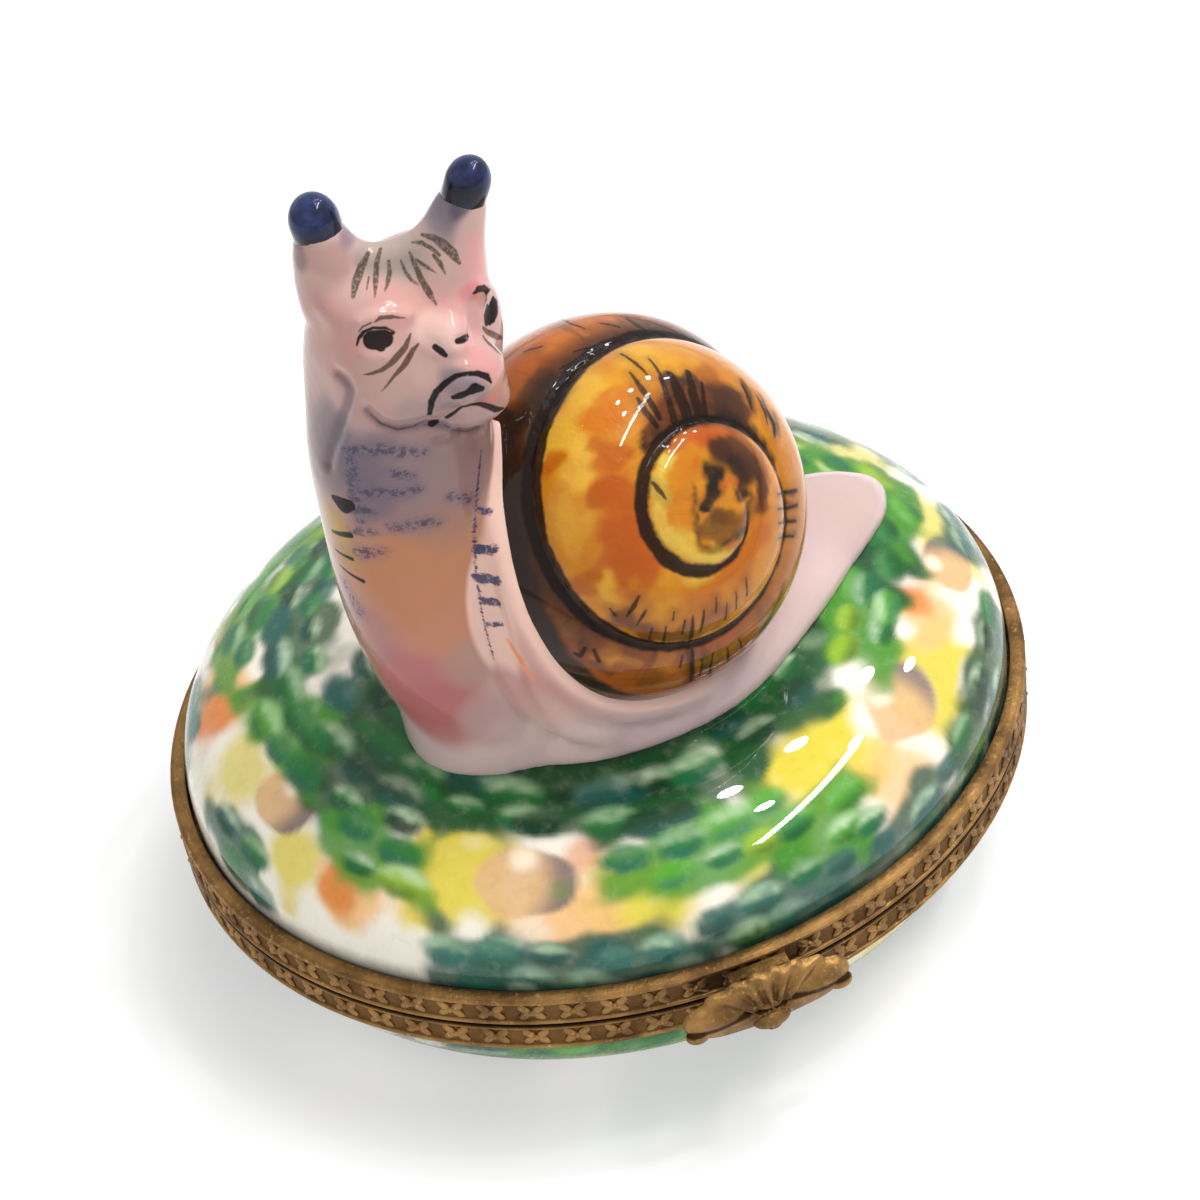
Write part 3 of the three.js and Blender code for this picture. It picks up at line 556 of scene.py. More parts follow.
# Dark strokes of the brush on the shell, drawn over the photo in the same way
HATCH_STROKES = [
    [(621, 353, 0.06), (635, 362, 0.12), (649, 376, 0.05)],
    [(649, 358, 0.05), (660, 373, 0.1), (667, 393, 0.13), (671, 412, 0.1)],
    [(630, 372, 0.05), (641, 387, 0.17), (652, 404, 0.2), (660, 418, 0.15)],
    [(638, 398, 0.1), (646, 412, 0.22), (657, 426, 0.15)],
    [(660, 376, 0.1), (668, 398, 0.2), (674, 420, 0.25)],
    [(670, 373, 0.2), (680, 395, 0.38), (688, 420, 0.38)],
    [(688, 371, 0.18), (693, 393, 0.32), (699, 415, 0.32)],
    [(702, 382, 0.08), (704, 404, 0.2), (707, 420, 0.2)],
    [(742, 384, 0.08), (749, 398, 0.17), (752, 409, 0.06)],
    [(757, 395, 0.06), (764, 409, 0.13), (768, 423, 0.05)],
    [(767, 409, 0.1), (774, 423, 0.2), (775, 437, 0.06)],
    [(778, 494, 0.03), (788, 492, 0.1), (797, 490, 0.12)],
    [(778, 509, 0.03), (788, 508, 0.09), (797, 505, 0.1)], [(779, 523, 0.03), (796, 521, 0.09)],
    [(779, 538, 0.03), (794, 536, 0.08)], [(639, 596, 0.06), (634, 606, 0.16), (627, 616, 0.05)],
    [(646, 610, 0.04), (642, 617, 0.1), (637, 625, 0.04)],
    [(693, 616, 0.05), (692, 631, 0.13), (689, 648, 0.1)],
    [(704, 610, 0.04), (703, 621, 0.09), (700, 632, 0.06)], [(716, 598, 0.03), (716, 612, 0.06)],
    [(685, 620, 0.04), (682, 634, 0.07)], [(674, 612, 0.03), (673, 620, 0.06)],
    [(610, 609, 0.05), (616, 616, 0.07)], [(608, 623, 0.05), (624, 634, 0.14)],
    [(652, 628, 0.04), (649, 639, 0.07)], [(666, 627, 0.04), (663, 642, 0.08)],
    [(727, 603, 0.03), (725, 620, 0.07)], [(736, 592, 0.03), (736, 609, 0.06)],
    [(746, 578, 0.03), (747, 595, 0.06)], [(692, 650, 0.1), (692, 664, 0.15), (691, 681, 0.1)],
    [(713, 653, 0.06), (710, 667, 0.11), (709, 678, 0.06)], [(727, 648, 0.06), (728, 661, 0.09)],
    [(739, 639, 0.05), (742, 650, 0.07)], [(702, 659, 0.06), (700, 675, 0.09)],
    [(682, 656, 0.05), (680, 667, 0.07)], [(585, 648, 0.1), (580, 656, 0.16), (574, 653, 0.06)],
    [(594, 650, 0.1), (599, 661, 0.13)], [(653, 483, 0.1), (660, 491, 0.14), (666, 499, 0.04)],
    [(558, 319, 0.04), (571, 323, 0.09), (585, 328, 0.04)],
    [(627, 318, 0.1), (638, 325, 0.17), (646, 329, 0.06)],
    [(574, 351, 0.05), (594, 346, 0.09), (613, 340, 0.05)], [(560, 368, 0.06), (580, 359, 0.09)],
    [(599, 322, 0.05), (619, 326, 0.1)], [(524, 351, 0.04), (541, 346, 0.07)],
]


def shell_paint():
    """Amber glaze in soft washes, with a dark line along the spiral and fine dark hatching beside it."""
    f = Finish("shell_paint")
    off = f.along("SUBTRACT", f.place, SHELL_MIDDLE)
    ahead = f.along("DOT_PRODUCT", off, SPIRE)
    right = f.along("DOT_PRODUCT", off, SPIRE_RIGHT)
    up = f.along("DOT_PRODUCT", off, SPIRE_UP)
    around = up.maths("ARCTAN2", up, right)
    out = up.maths("ARCTAN2", (right * right + up * up) ** 0.5, ahead)
    passed = up.maths("LOGARITHM", up.maths("TANGENT", out * 0.5), math.e)
    spiral = (passed - SPIRAL_START) / SPIRAL_GROWTH + around / math.tau
    share = up.maths("FRACT", spiral)
    whorl = up.maths("FLOOR", spiral)
    age = whorl - around / math.tau
    width = up.maths("SINE", out) * (SHELL_RADIUS * SPIRAL_GROWTH)
    after = share * width
    before = width - after
    grain = f.clouds(0.3, 3, 0.6)
    wet = f.clouds(1.6, 3, 0.6)
    tint = f.skin_tint()
    tint = f.lay(tint, f.fade(f.clouds(2.6, 4, 0.6), 0.5, 0.66) * 0.22, 168, 78, 14)
    streak = f.clouds(1.0, 3, 0.6, f.join(around * 9.0, share * 1.1, whorl * 3.7))
    tint = f.lay(tint, f.fade(streak, 0.54, 0.7) * f.fade(age, 1.0, 1.4) * 0.55, 84, 44, 18)
    rim = f.fade(after, 3.0, 0.4) * f.fade(age, 1.3, 1.5)
    tint = f.lay(tint, rim * f.fade(wet + rim * 0.4, 0.44, 0.66) * 0.9, 40, 20, 9)
    # Painted shade, nearly black, on the shell within about 1.6 mm of the body, where the two meet.
    tint = f.lay(tint, f.fade(f.mark("flesh") + (wet - 0.5) * 1.2, 1.6, 0.8) * 0.94, 32, 17, 8)
    ragged = (f.clouds(0.35, 3, 0.6) - 0.5) * 0.14
    tint = f.lay(tint, f.fade(f.mark("hatch") + ragged * 3.0, 0.8, 0.0) * 0.35, 96, 52, 18)
    hatch = f.fade(f.mark("hatch") + ragged, 0.09, -0.05)
    tint = f.lay(tint, hatch * (0.75 + 0.2 * grain), 26, 15, 11)
    seam = None
    for gap, here in ((after, age), (before, age + 1.0)):
        thick = 0.1 + 0.3 * f.fade(here, 0.1, 0.4) - 0.22 * f.fade(here, 0.7, 1.0)
        thick = thick + 0.2 * f.fade(here, 1.1, 1.3) + 0.25 * f.fade(here, 1.3, 1.6) + (wet - 0.5) * 0.5
        line = f.fade(gap, thick + 0.12, thick - 0.12) * f.fade(here, 0.0, 0.15)
        seam = line if seam is None else f.most(seam, line)
    tint = f.lay(tint, seam * 0.96, 22, 12, 8)
    glaze = dict(GLAZE)
    glaze["Coat Weight"] = 0.8 - 0.45 * f.most(seam, hatch)
    return f.fire(tint, 0.2 + 0.1 * grain, f.clouds(1.4, 3) + 0.3 * streak, 0.16, **glaze)


def horn_paint(side):
    """A deep blue tip, darker towards its seat."""
    f = Finish(f"horn_paint_{side}")
    root, seat = HORNS[side]
    wash = f.clouds(1.4, 3, 0.6)
    tint = f.mix(f.fade(wash, 0.35, 0.65), paint(20, 27, 54), paint(38, 50, 92))
    tint = f.lay(tint, f.fade(f.clouds(0.6, 3), 0.52, 0.72) * 0.5, 18, 22, 40)
    rise = f.along("DOT_PRODUCT", f.along("SUBTRACT", f.place, seat), (seat - root).normalized())
    rise = rise + (wash - 0.5) * 1.4
    tint = f.lay(tint, f.fade(rise, 2.5, 1.4) * 0.85, 17, 17, 27)
    return f.fire(tint, 0.24 + 0.1 * wash, f.clouds(1.2, 2), 0.1, **GLAZE)


def glazed_foliage(name, bisque_below=None):
    """The painted porcelain: brush marks kept on the skin, under a glaze where pigment settles unevenly."""
    f = Finish(name)
    tint = f.skin_tint()
    pigment = f.clouds(0.9, 4, 0.6)
    tint = f.lay(tint, f.fade(pigment, 0.5, 0.75) * 0.05, 246, 244, 234)
    tint = f.mix(f.fade(pigment, 0.5, 0.3) * 0.07, tint, paint(24, 52, 40), "MULTIPLY")
    speck = f.clouds(0.4, 3, 0.6)
    rough = 0.22 + 0.12 * speck
    if bisque_below is not None:
        bare = f.fade(f.part(f.place)[2], bisque_below + 0.4, bisque_below)
        tint = f.lay(tint, bare, 228, 222, 210)
        rough = rough + 0.4 * bare
    return f.fire(tint, rough, f.clouds(4.0, 2) + 0.15 * pigment, 0.1, **GLAZE)


def white_glaze():
    """The plain inside of the box: white glaze that pools slightly."""
    f = Finish("white_glaze")
    pool = f.clouds(7.0, 3)
    tint = f.mix(f.fade(pool, 0.35, 0.7), paint(240, 238, 232), paint(229, 229, 224))
    return f.fire(tint, 0.22 + 0.08 * f.clouds(0.6, 3), pool, 0.2, **GLAZE)


# Shapes

def finish_piece(name, bm, body, nodes, materials, crease=40):
    """Cleans a shape, brings it to metres and lets it ride on its body."""
    bmesh.ops.remove_doubles(bm, verts=bm.verts, dist=1e-4)
    bmesh.ops.recalc_face_normals(bm, faces=bm.faces)
    bmesh.ops.scale(bm, vec=(MM, MM, MM), verts=bm.verts)
    mesh = bpy.data.meshes.new(name)
    bm.to_mesh(mesh)
    bm.free()
    for material in materials:
        mesh.materials.append(material)
    mesh.shade_smooth()
    if crease:
        mesh.set_sharp_from_angle(angle=math.radians(crease))
    piece = bpy.data.objects.new(name, mesh)
    bpy.context.scene.collection.objects.link(piece)
    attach(piece, body)
    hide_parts(*nodes)
    return piece


def spun(bm, places, axis, closed, steps):
    """Turns a line of places about an axis through the origin."""
    points = [bm.verts.new(place) for place in places]
    lines = [bm.edges.new(pair) for pair in zip(points, points[1:])]
    if closed:
        lines.append(bm.edges.new((points[-1], points[0])))
    bmesh.ops.spin(bm, geom=points + lines, cent=(0, 0, 0), axis=axis, angle=math.tau, steps=steps,
                   use_merge=True)
    bmesh.ops.remove_doubles(bm, verts=bm.verts, dist=1e-5)


def turn(bm, outline, closed=True, steps=TURN_STEPS, oval=OVAL, edge_round=0.0):
    """Turns an outline of (radius, height) about the upright axis and stretches it to the oval."""
    spun(bm, [(0, radius, height) for radius, height in outline], (0, 0, 1), closed, steps)
    bmesh.ops.recalc_face_normals(bm, faces=bm.faces)
    if edge_round:
        sharp = math.radians(40)
        corners = [e for e in bm.edges if len(e.link_faces) == 2 and e.calc_face_angle(0) > sharp]
        bmesh.ops.bevel(bm, geom=corners, affect="EDGES", offset=edge_round, segments=2, profile=0.5,
                        material=-1)
    bmesh.ops.scale(bm, vec=(oval, 1, 1), verts=bm.verts)


def dome_outline(radius, rise, level, count):
    """Points of a full-shouldered dome, from the crown down to the rim."""
    power = 2 / DOME_FULLNESS
    run = [math.pi / 2 * i / count for i in range(count + 1)]
    return [(radius * math.sin(a) ** power, level + rise * max(math.cos(a), 0.0) ** power) for a in run]


def ease(value, low, high):
    """0 at low to 1 at high, with soft ends; low may be the larger."""
    t = np.clip((value - low) / (high - low), 0, 1)
    return t * t * (3 - 2 * t)


DEEP, EMERALD, GRASS, TEAL = (14, 54, 30), (26, 108, 44), (78, 150, 44), (26, 84, 76)
SEA, LIME, MINT, YELLOW = (46, 108, 92), (136, 172, 36), (186, 208, 172), (204, 186, 20)
PEACH, ORANGE, LILAC = (224, 176, 114), (206, 114, 38), (184, 184, 196)
STONE, STONE_SHADE, STONE_TOP = (206, 166, 118), (106, 96, 98), (242, 230, 208)
GROUND = (228, 222, 208)


def polar(degrees, away):
    a = math.radians(degrees)
    return away * math.cos(a), away * math.sin(a)


class Brushwork:
    """Paint laid on a skin one mark after another, over an unrolled plan of it in mm."""

    def __init__(self, plan, seed):
        self.plan = plan
        self.tint = np.tile(np.array(paint(*GROUND)[:3]), (len(plan), 1))
        self.fine = self.mottle(0.9, seed)
        self.broad = self.mottle(3.0, seed + 5)

    def mottle(self, size, level):
        return np.array([noise.noise((u / size, v / size, level)) for u, v in self.plan])

    def lay(self, near, share, colour):
        self.tint[near] += share[:, None] * (np.array(paint(*colour)[:3]) - self.tint[near])

    def around(self, u, v, reach):
        """Points near a place, with their offsets outwards of it: along the rim and towards the middle."""
        off = self.plan - (u, v)
        near = np.nonzero(np.max(np.abs(off), axis=1) < reach)[0]
        away = math.hypot(u, v) or 1.0
        inward = np.array((-u / away, -v / away))
        side = np.array((-inward[1], inward[0]))
        return near, off[near] @ side, off[near] @ inward

    def wash(self, u, v, size, colour, strength):
        near, across, up = self.around(u, v, size * 1.8)
        far = np.hypot(across, up) / size + self.broad[near] * 0.6 + self.fine[near] * 0.05
        self.lay(near, ease(far, 1.1, 0.45) * strength, colour)

    def stone(self, u, v, size):
        """A smooth pebble with one shaded side and a pale top."""
        near, across, up = self.around(u, v, size * 1.8)
        far = np.hypot(across / size, up / (size * 0.82)) + self.broad[near] * 0.2
        body = ease(far, 1.05, 0.85)
        self.lay(near, body * 0.92, STONE)
        self.lay(near, body * ease(across / size - 0.3 * far, -0.15, -0.95) * 0.85, STONE_SHADE)
        top = ease(np.hypot(across / size - 0.1, up / size - 0.5), 0.42, 0.1)
        self.lay(near, body * top * 0.7, STONE_TOP)

    def leaf(self, u, v, wide, colour, under, cap):
        """A round dab: dark below, with a pale cap where the brush first touched."""
        near, across, up = self.around(u, v, wide * 1.7)
        far = np.hypot(across / wide, up / (wide * 0.68)) + self.fine[near] * 0.12
        body = ease(far, 1.2, 0.58)
        self.lay(near, body * 0.92, colour)
        self.lay(near, body * ease(up / wide, 0.2, -0.5) * 0.65, under)
        pale = ease(up / wide + self.fine[near] * 0.12, -0.08, 0.3) * (0.72 + 0.5 * self.fine[near])
        self.lay(near, body * np.clip(pale, 0, 1) * cap, MINT)

    def thicket(self, u, v, wide, deep, colour):
        """A loose patch of green behind a clump of leaves."""
        near, across, up = self.around(u, v, max(wide, deep) * 1.7)
        far = np.hypot(across / wide, up / deep) + self.broad[near] * 0.6 + self.fine[near] * 0.05
        self.lay(near, ease(far, 1.1, 0.7) * 0.9, colour)


MOODS = {"deep": (EMERALD, DEEP, EMERALD, TEAL), "grass": (GRASS, EMERALD, LIME, EMERALD),
         "sea": (TEAL, SEA, EMERALD, TEAL)}
GROUNDS = {"deep": (20, 72, 34), "grass": (66, 132, 36), "sea": (36, 84, 70)}


def plant(work, chance, clumps):
    """Clumps (angle, distance, count, mood): a green patch, then dabs in rows, nearest the middle first."""
    leaves = []
    for angle, away, count, mood in clumps:
        rows = max(2, round(math.sqrt(count * 0.7)))
        columns = math.ceil(count / rows)
        work.thicket(*polar(angle, away), columns * 1.95 + 0.8, rows * 1.5 + 0.6, GROUNDS[mood])
        for k in range(count):
            row, column = divmod(k, columns)
            out = away + (row - (rows - 1) / 2) * 2.45 + chance.uniform(-0.5, 0.5)
            slide = (column - (columns - 1) / 2 + 0.5 * (row % 2)) * 3.5 + chance.uniform(-0.8, 0.8)
            wide = chance.uniform(1.4, 2.2)
            colour = chance.choice(MOODS[mood])
            under = chance.choice((DEEP, DEEP, TEAL))
            cap = chance.choice((0.0, 0.1, 0.55, 0.8))
            leaves.append((out, math.radians(angle) + slide / out, wide, colour, under, cap))
    for out, a, wide, colour, under, cap in sorted(leaves):
        work.leaf(out * math.cos(a), out * math.sin(a), wide, colour, under, cap)


# Washes on the lid by colour: angle in degrees, distance, size, strength
LID_WASHES = {
    YELLOW: [
        (-134, 24, 6.4, 0.9), (-104, 27, 5.2, 0.9), (-66, 22.5, 6.2, 0.95), (-38, 27, 6.0, 0.9),
        (-82, 27.5, 4.4, 0.8), (-158, 29, 4.0, 0.8), (-6, 28, 6.5, 0.75), (18, 26, 5.5, 0.7),
        (-176, 27, 4.4, 0.7), (62, 24, 6.5, 0.8), (122, 25, 6.5, 0.8),
    ],
    PEACH: [
        (-147, 28, 4.0, 0.9), (-114, 28, 5.2, 0.9), (-58, 28.5, 4.6, 0.75), (-27, 24, 3.8, 0.85),
        (166, 27, 4.6, 0.9), (84, 26, 5.5, 0.85), (36, 22, 4.0, 0.8),
    ],
    ORANGE: [
        (170, 28.5, 3.0, 0.85), (-24, 23, 2.2, 0.75), (-150, 28.5, 2.4, 0.85), (-112, 22, 2.0, 0.6),
        (100, 27, 2.6, 0.7),
    ],
    LILAC: [
        (-154, 23.5, 3.8, 0.75), (-80, 31, 3.4, 0.7), (-36, 31, 3.6, 0.75), (-10, 22.5, 3.2, 0.75),
        (142, 25, 4.4, 0.7), (30, 29.5, 4.2, 0.7),
    ],
}
LID_STONES = [
    (-121, 24.5, 3.6), (-47, 24.5, 3.7), (-14, 27, 3.0), (-166, 26, 3.0), (38, 26, 3.2), (101, 23, 3.4),
    (150, 27, 3.0),
]
LID_CLUMPS = [
    (-96, 19, 5, "deep"), (-91, 24, 8, "grass"), (-82, 30.5, 7, "sea"), (-104, 31.5, 4, "sea"),
    (-62, 16.5, 5, "deep"), (-30, 19.5, 5, "grass"), (-58, 32, 6, "sea"), (-28, 31.5, 5, "deep"),
    (-12, 20.5, 5, "deep"), (4, 24, 5, "grass"), (15, 31.5, 4, "sea"), (-128, 32, 4, "sea"),
    (-139, 18.5, 6, "deep"), (-160, 21, 6, "deep"), (-152, 16.5, 5, "deep"), (-172, 16.5, 5, "deep"),
    (180, 22, 6, "grass"), (158, 20.5, 5, "deep"), (-168, 32, 4, "sea"), (150, 25.5, 5, "grass"),
    (46, 20, 6, "deep"), (72, 30.5, 6, "grass"), (94, 18, 7, "deep"), (118, 30.5, 6, "sea"),
    (134, 20, 6, "deep"), (48, 30.5, 5, "sea"), (-113, 18.5, 5, "deep"), (70, 19, 5, "deep"),
    (21, 22, 5, "grass"), (-72, 27, 4, "grass"), (-5, 31, 4, "sea"), (-147, 25, 4, "grass"),
    (100, 13, 6, "deep"), (125, 24.5, 5, "grass"), (86, 24, 5, "sea"), (62, 13.5, 5, "deep"),
    (92, 32, 5, "sea"), (141, 31.5, 5, "grass"), (164, 32, 4, "sea"), (60, 25, 5, "grass"),
    (30, 27, 4, "deep"), (-117, 31.5, 5, "sea"), (-42, 32, 4, "deep"),
]


def unrolled(places, level, slope):
    """A plan of a bowl-shaped skin: the drop from a level is laid out flat round the middle."""
    x, y, z = places.T
    out = np.maximum(np.hypot(x / OVAL, y), 0.5)
    stretch = 1 + slope * np.abs(level - z) / out
    return np.stack([x * stretch, y * stretch], axis=1)


def keep_paint(piece, tint):
    """Keeps the finished colours on the piece's skin."""
    whole = np.ones((len(tint), 4))
    whole[:, :3] = np.clip(tint, 0, 1)
    layer = piece.data.color_attributes.new("washes", "FLOAT_COLOR", "POINT")
    layer.data.foreach_set("color", whole.ravel())


def keep_measure(piece, name, values):
    piece.data.attributes.new(name, "FLOAT", "POINT").data.foreach_set("value", values)


def washed(places, tint, table):
    """Washes laid over a tint, each with its middle, radius, colour and strength."""
    for middle, radius, colour, strength in table:
        far = np.linalg.norm(places - middle, axis=1) / radius
        tint = tint + (ease(far, 1.1, 0.5) * strength)[:, None] * (np.array(paint(*colour)[:3]) - tint)
    return tint


def drifted(places, size, reach):
    """Places pushed about a little, for the edges that a brush leaves."""
    return places + np.array([noise.noise_vector(Vector(p) / size) for p in places]) * reach


def skin_places(piece):
    places = np.empty(len(piece.data.vertices) * 3)
    piece.data.vertices.foreach_get("co", places)
    return places.reshape(-1, 3) / MM


def paint_lid(piece):
    chance = random.Random(11)
    work = Brushwork(unrolled(skin_places(piece), CROWN, 0.8), 3.0)
    for colour, washes in LID_WASHES.items():
        for angle, away, size, strength in washes:
            work.wash(*polar(angle, away), size, colour, strength)
    for angle, away, size in LID_STONES:
        work.stone(*polar(angle, away), size)
    spine = [(x, y, 0.0) for x, y, wide, thick in FOOT]
    gap = away_from(np.c_[work.plan, np.zeros(len(work.plan))], spine, [wide for x, y, wide, thick in FOOT])
    everywhere = np.arange(len(work.plan))
    # Greens round the snail's foot, darkening to deep green at the foot: green foliage with a painted shadow
    # of the foot.
    work.lay(everywhere, ease(gap + work.broad * 4.4 + work.fine * 0.4, 5.4, 3.4) * 0.85, (40, 106, 44))
    work.lay(everywhere, ease(gap + work.broad * 3.6 + work.fine * 0.4, 3.4, 1.4) * 0.9, (18, 66, 32))
    work.lay(everywhere, ease(gap + work.broad * 2.0 + work.fine * 0.4, 1.7, 0.4) * 0.75, DEEP)
    plant(work, chance, LID_CLUMPS)
    rim = ease(skin_places(piece)[:, 2] + work.fine * 0.3, RIM_LEVEL + 1.4, RIM_LEVEL - 0.2)
    work.lay(everywhere, rim * 0.5, (24, 52, 44))
    keep_paint(piece, work.tint)


def paint_bowl(piece):
    chance = random.Random(29)
    work = Brushwork(unrolled(skin_places(piece), 0.0, 0.75), 9.0)
    colours = (YELLOW, PEACH, LILAC, YELLOW, ORANGE)
    for k in range(24):
        angle = 15 * k + chance.uniform(-6, 6)
        away = chance.uniform(19, 30)
        work.wash(*polar(angle, away), chance.uniform(2.5, 5.0), colours[k % len(colours)], 0.75)
    moods = ("deep", "sea", "grass")
    clumps = []
    for k in range(20):
        angle = 18 * k + chance.uniform(-5, 5)
        away = chance.choice((20.5, 25.0, 29.5))
        clumps.append((angle, away, chance.randint(7, 11), moods[k % len(moods)]))
    plant(work, chance, clumps)
    keep_paint(piece, work.tint)


def glaze_inside(bm, centre):
    """Faces that look towards the middle of the box take the second finish."""
    bm.normal_update()
    for face in bm.faces:
        if (face.calc_center_median() - centre).dot(face.normal) < 0:
            face.material_index = 1


def make_lid_dome(material, inside_material):
    bm = bmesh.new()
    outside = dome_outline(RIM_RADIUS, DOME_RISE, RIM_LEVEL, 104)
    inside = dome_outline(LID_INSIDE_RADIUS, LID_INSIDE_RISE, RIM_LEVEL, 20)
    skirt = [(RIM_RADIUS, LID_SEAT + 0.15), (RIM_RADIUS - 0.15, LID_SEAT)]
    lip = [(LID_INSIDE_RADIUS + 0.2, LID_SEAT), (LID_INSIDE_RADIUS, LID_SEAT + 0.2)]
    turn(bm, outside + skirt + lip + inside[::-1], closed=False, steps=PAINT_STEPS)
    glaze_inside(bm, Vector((0, 0, LID_SEAT)))
    piece = finish_piece("lid_porcelain", bm, "lid", ["lid_dome"],
                         [material, inside_material])
    paint_lid(piece)
    return piece


def make_base_bowl(material, inside_material):
    bm = bmesh.new()
    quarter = [math.pi / 2 * i / 48 for i in range(49)]
    outside = [(FOOT_RADIUS + BOWL_SWELL * math.sin(a), BOWL_RISE * (1 - math.cos(a))) for a in quarter]
    inner_foot = FOOT_RADIUS - BOWL_WALL
    inner_rise = BOWL_RISE - BOWL_FLOOR
    inside = [(inner_foot + BOWL_SWELL * math.sin(a), BOWL_FLOOR + inner_rise * (1 - math.cos(a)))
              for a in quarter[::3]]
    foot = [(0, 0.55), (FOOT_RADIUS - 2.2, 0.55), (FOOT_RADIUS - 1.8, 0.3), (FOOT_RADIUS - 1.6, 0.04),
            (FOOT_RADIUS - 1.3, 0)]
    mouth = [(RIM_RADIUS, BOWL_MOUTH - 0.2), (RIM_RADIUS - 0.2, BOWL_MOUTH),
             (inner_foot + BOWL_SWELL + 0.2, BOWL_MOUTH), (inner_foot + BOWL_SWELL, BOWL_MOUTH - 0.2)]
    turn(bm, foot + outside + mouth + inside[::-1] + [(0, BOWL_FLOOR)], closed=False, steps=PAINT_STEPS)
    glaze_inside(bm, Vector((0, 0, PARTING)))
    piece = finish_piece("base_porcelain", bm, "base", ["base_bowl"],
                         [material, inside_material])
    paint_bowl(piece)
    return piece


def make_rosette():
    """Four petals and a boss, lying flat with its face up."""
    bm = bmesh.new()
    for turned in (45, 135, 225, 315):
        a = math.radians(turned)
        place = Matrix.Translation((0.58 * math.cos(a), 0.36 * math.sin(a), 0)) @ Matrix.Rotation(a, 4, "Z")
        petal = place @ Matrix.Diagonal((0.6, 0.32, 0.22, 1))
        bmesh.ops.create_uvsphere(bm, u_segments=8, v_segments=5, radius=1, matrix=petal)
    boss = Matrix.Diagonal((0.26, 0.24, 0.3, 1))
    bmesh.ops.create_uvsphere(bm, u_segments=8, v_segments=5, radius=1, matrix=boss)
    mesh = bpy.data.meshes.new("rosette")
    bm.to_mesh(mesh)
    bm.free()
    return mesh


def rosette_row(bm, height):
    """A row of small four-petalled rosettes chased round a band."""
    rosette = make_rosette()
    turns = [math.tau * i / 720 for i in range(721)]
    ring = [Vector((OVAL * BAND_FIELD * math.cos(a), BAND_FIELD * math.sin(a), height)) for a in turns]
    walked = [0.0]
    for a, b in zip(ring, ring[1:]):
        walked.append(walked[-1] + (b - a).length)
    at = 0
    upright = Vector((0, 0, 1))
    for k in range(STUDS_ROUND):
        goal = walked[-1] * (k + 0.5) / STUDS_ROUND
        while walked[at + 1] < goal:
            at += 1
        along = (ring[at + 1] - ring[at]).normalized()
        middle = ring[at] + along * (goal - walked[at])
        out = along.cross(upright)
        stand = Matrix((along, -upright, out)).transposed().to_4x4()
        one = rosette.copy()
        one.transform(Matrix.Translation(middle) @ stand)
        bm.from_mesh(one)
        bpy.data.meshes.remove(one)
    bpy.data.meshes.remove(rosette)


def make_band(name, node, body, material, bottom, flange_up):
    """A brass band with plain borders, a chased field and the flange that carries the porcelain."""
    bm = bmesh.new()
    top = bottom + BAND_HEIGHT
    face = [(BAND_BORDER - 0.1, bottom), (BAND_BORDER, bottom + 0.1), (BAND_BORDER, bottom + 0.3),
            (BAND_FIELD, bottom + 0.38), (BAND_FIELD, top - 0.38), (BAND_BORDER, top - 0.3),
            (BAND_BORDER - 0.06, top - 0.1), (BAND_BORDER - 0.34, top)]
    if flange_up:
        step = bottom + FLANGE_THICKNESS
        outline = face + [(BAND_INNER, top), (BAND_INNER, step), (FLANGE_INNER, step), (FLANGE_INNER, bottom)]
    else:
        step = top - FLANGE_THICKNESS
        flange = [(FLANGE_INNER, top), (FLANGE_INNER, step), (BAND_INNER, step)]
        outline = [(BAND_INNER, bottom)] + face + flange
    turn(bm, outline, edge_round=0.05)
    rosette_row(bm, bottom + BAND_HEIGHT / 2)
    return finish_piece(name, bm, body, [node], [material])


def make_collar(material):
    bm = bmesh.new()
    low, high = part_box("base_collar")
    bottom, top = low.z / MM, high.z / MM
    outline = [(COLLAR_INNER, bottom), (COLLAR_OUTER, bottom), (COLLAR_OUTER, top - 0.25),
               (COLLAR_OUTER - 0.25, top), (COLLAR_INNER, top)]
    turn(bm, outline, edge_round=0.08)
    return finish_piece("guide_collar", bm, "base", ["base_collar"], [material])


def blended(rows, per):
    """Rows of numbers with smooth rows added between them."""
    table = np.array(rows, float)
    padded = np.vstack([2 * table[0] - table[1], table, 2 * table[-1] - table[-2]])
    out = []
    for i in range(1, len(table)):
        a, b, c, d = padded[i - 1:i + 3]
        for k in range(per):
            t = k / per
            bend = (2 * a - 5 * b + 4 * c - d) * t ** 2 + (3 * b - a - 3 * c + d) * t ** 3
            out.append(0.5 * (2 * b + (c - a) * t + bend))
    out.append(table[-1])
    return out


def loft(bm, rings, sides=40, fullness=2.0):
    """Bridges closed rings into one skin; a ring is a middle, two half axes and maybe its own fullness."""
    before = None
    for i, (middle, across, deep, *own) in enumerate(rings):
        fullness = own[0] if own else fullness
        closed = i in (0, len(rings) - 1)
        ring = bmesh.ops.create_circle(bm, cap_ends=closed, cap_tris=False, radius=1, segments=sides)["verts"]
        for v in ring:
            wide = math.copysign(abs(v.co.x) ** (2 / fullness), v.co.x)
            tall = math.copysign(abs(v.co.y) ** (2 / fullness), v.co.y)
            v.co = middle + across * wide + deep * tall
        edges = list({e for v in ring for e in v.link_edges})
        if before:
            bmesh.ops.bridge_loops(bm, edges=before + edges)
        before = edges


def roll(bm, rows, per=4, sides=14):
    """A soft roll of clay along points (x, y, z, radius)."""
    run = blended(rows, per)
    rings = []
    for i, row in enumerate(run):
        ahead = Vector(run[min(i + 1, len(run) - 1)][:3]) - Vector(run[max(i - 1, 0)][:3])
        ahead.normalize()
        across = ahead.cross(Vector((0, 0, 1))).normalized()
        deep = ahead.cross(across).normalized()
        rings.append((Vector(row[:3]), across * row[3], deep * row[3]))
    loft(bm, rings, sides)


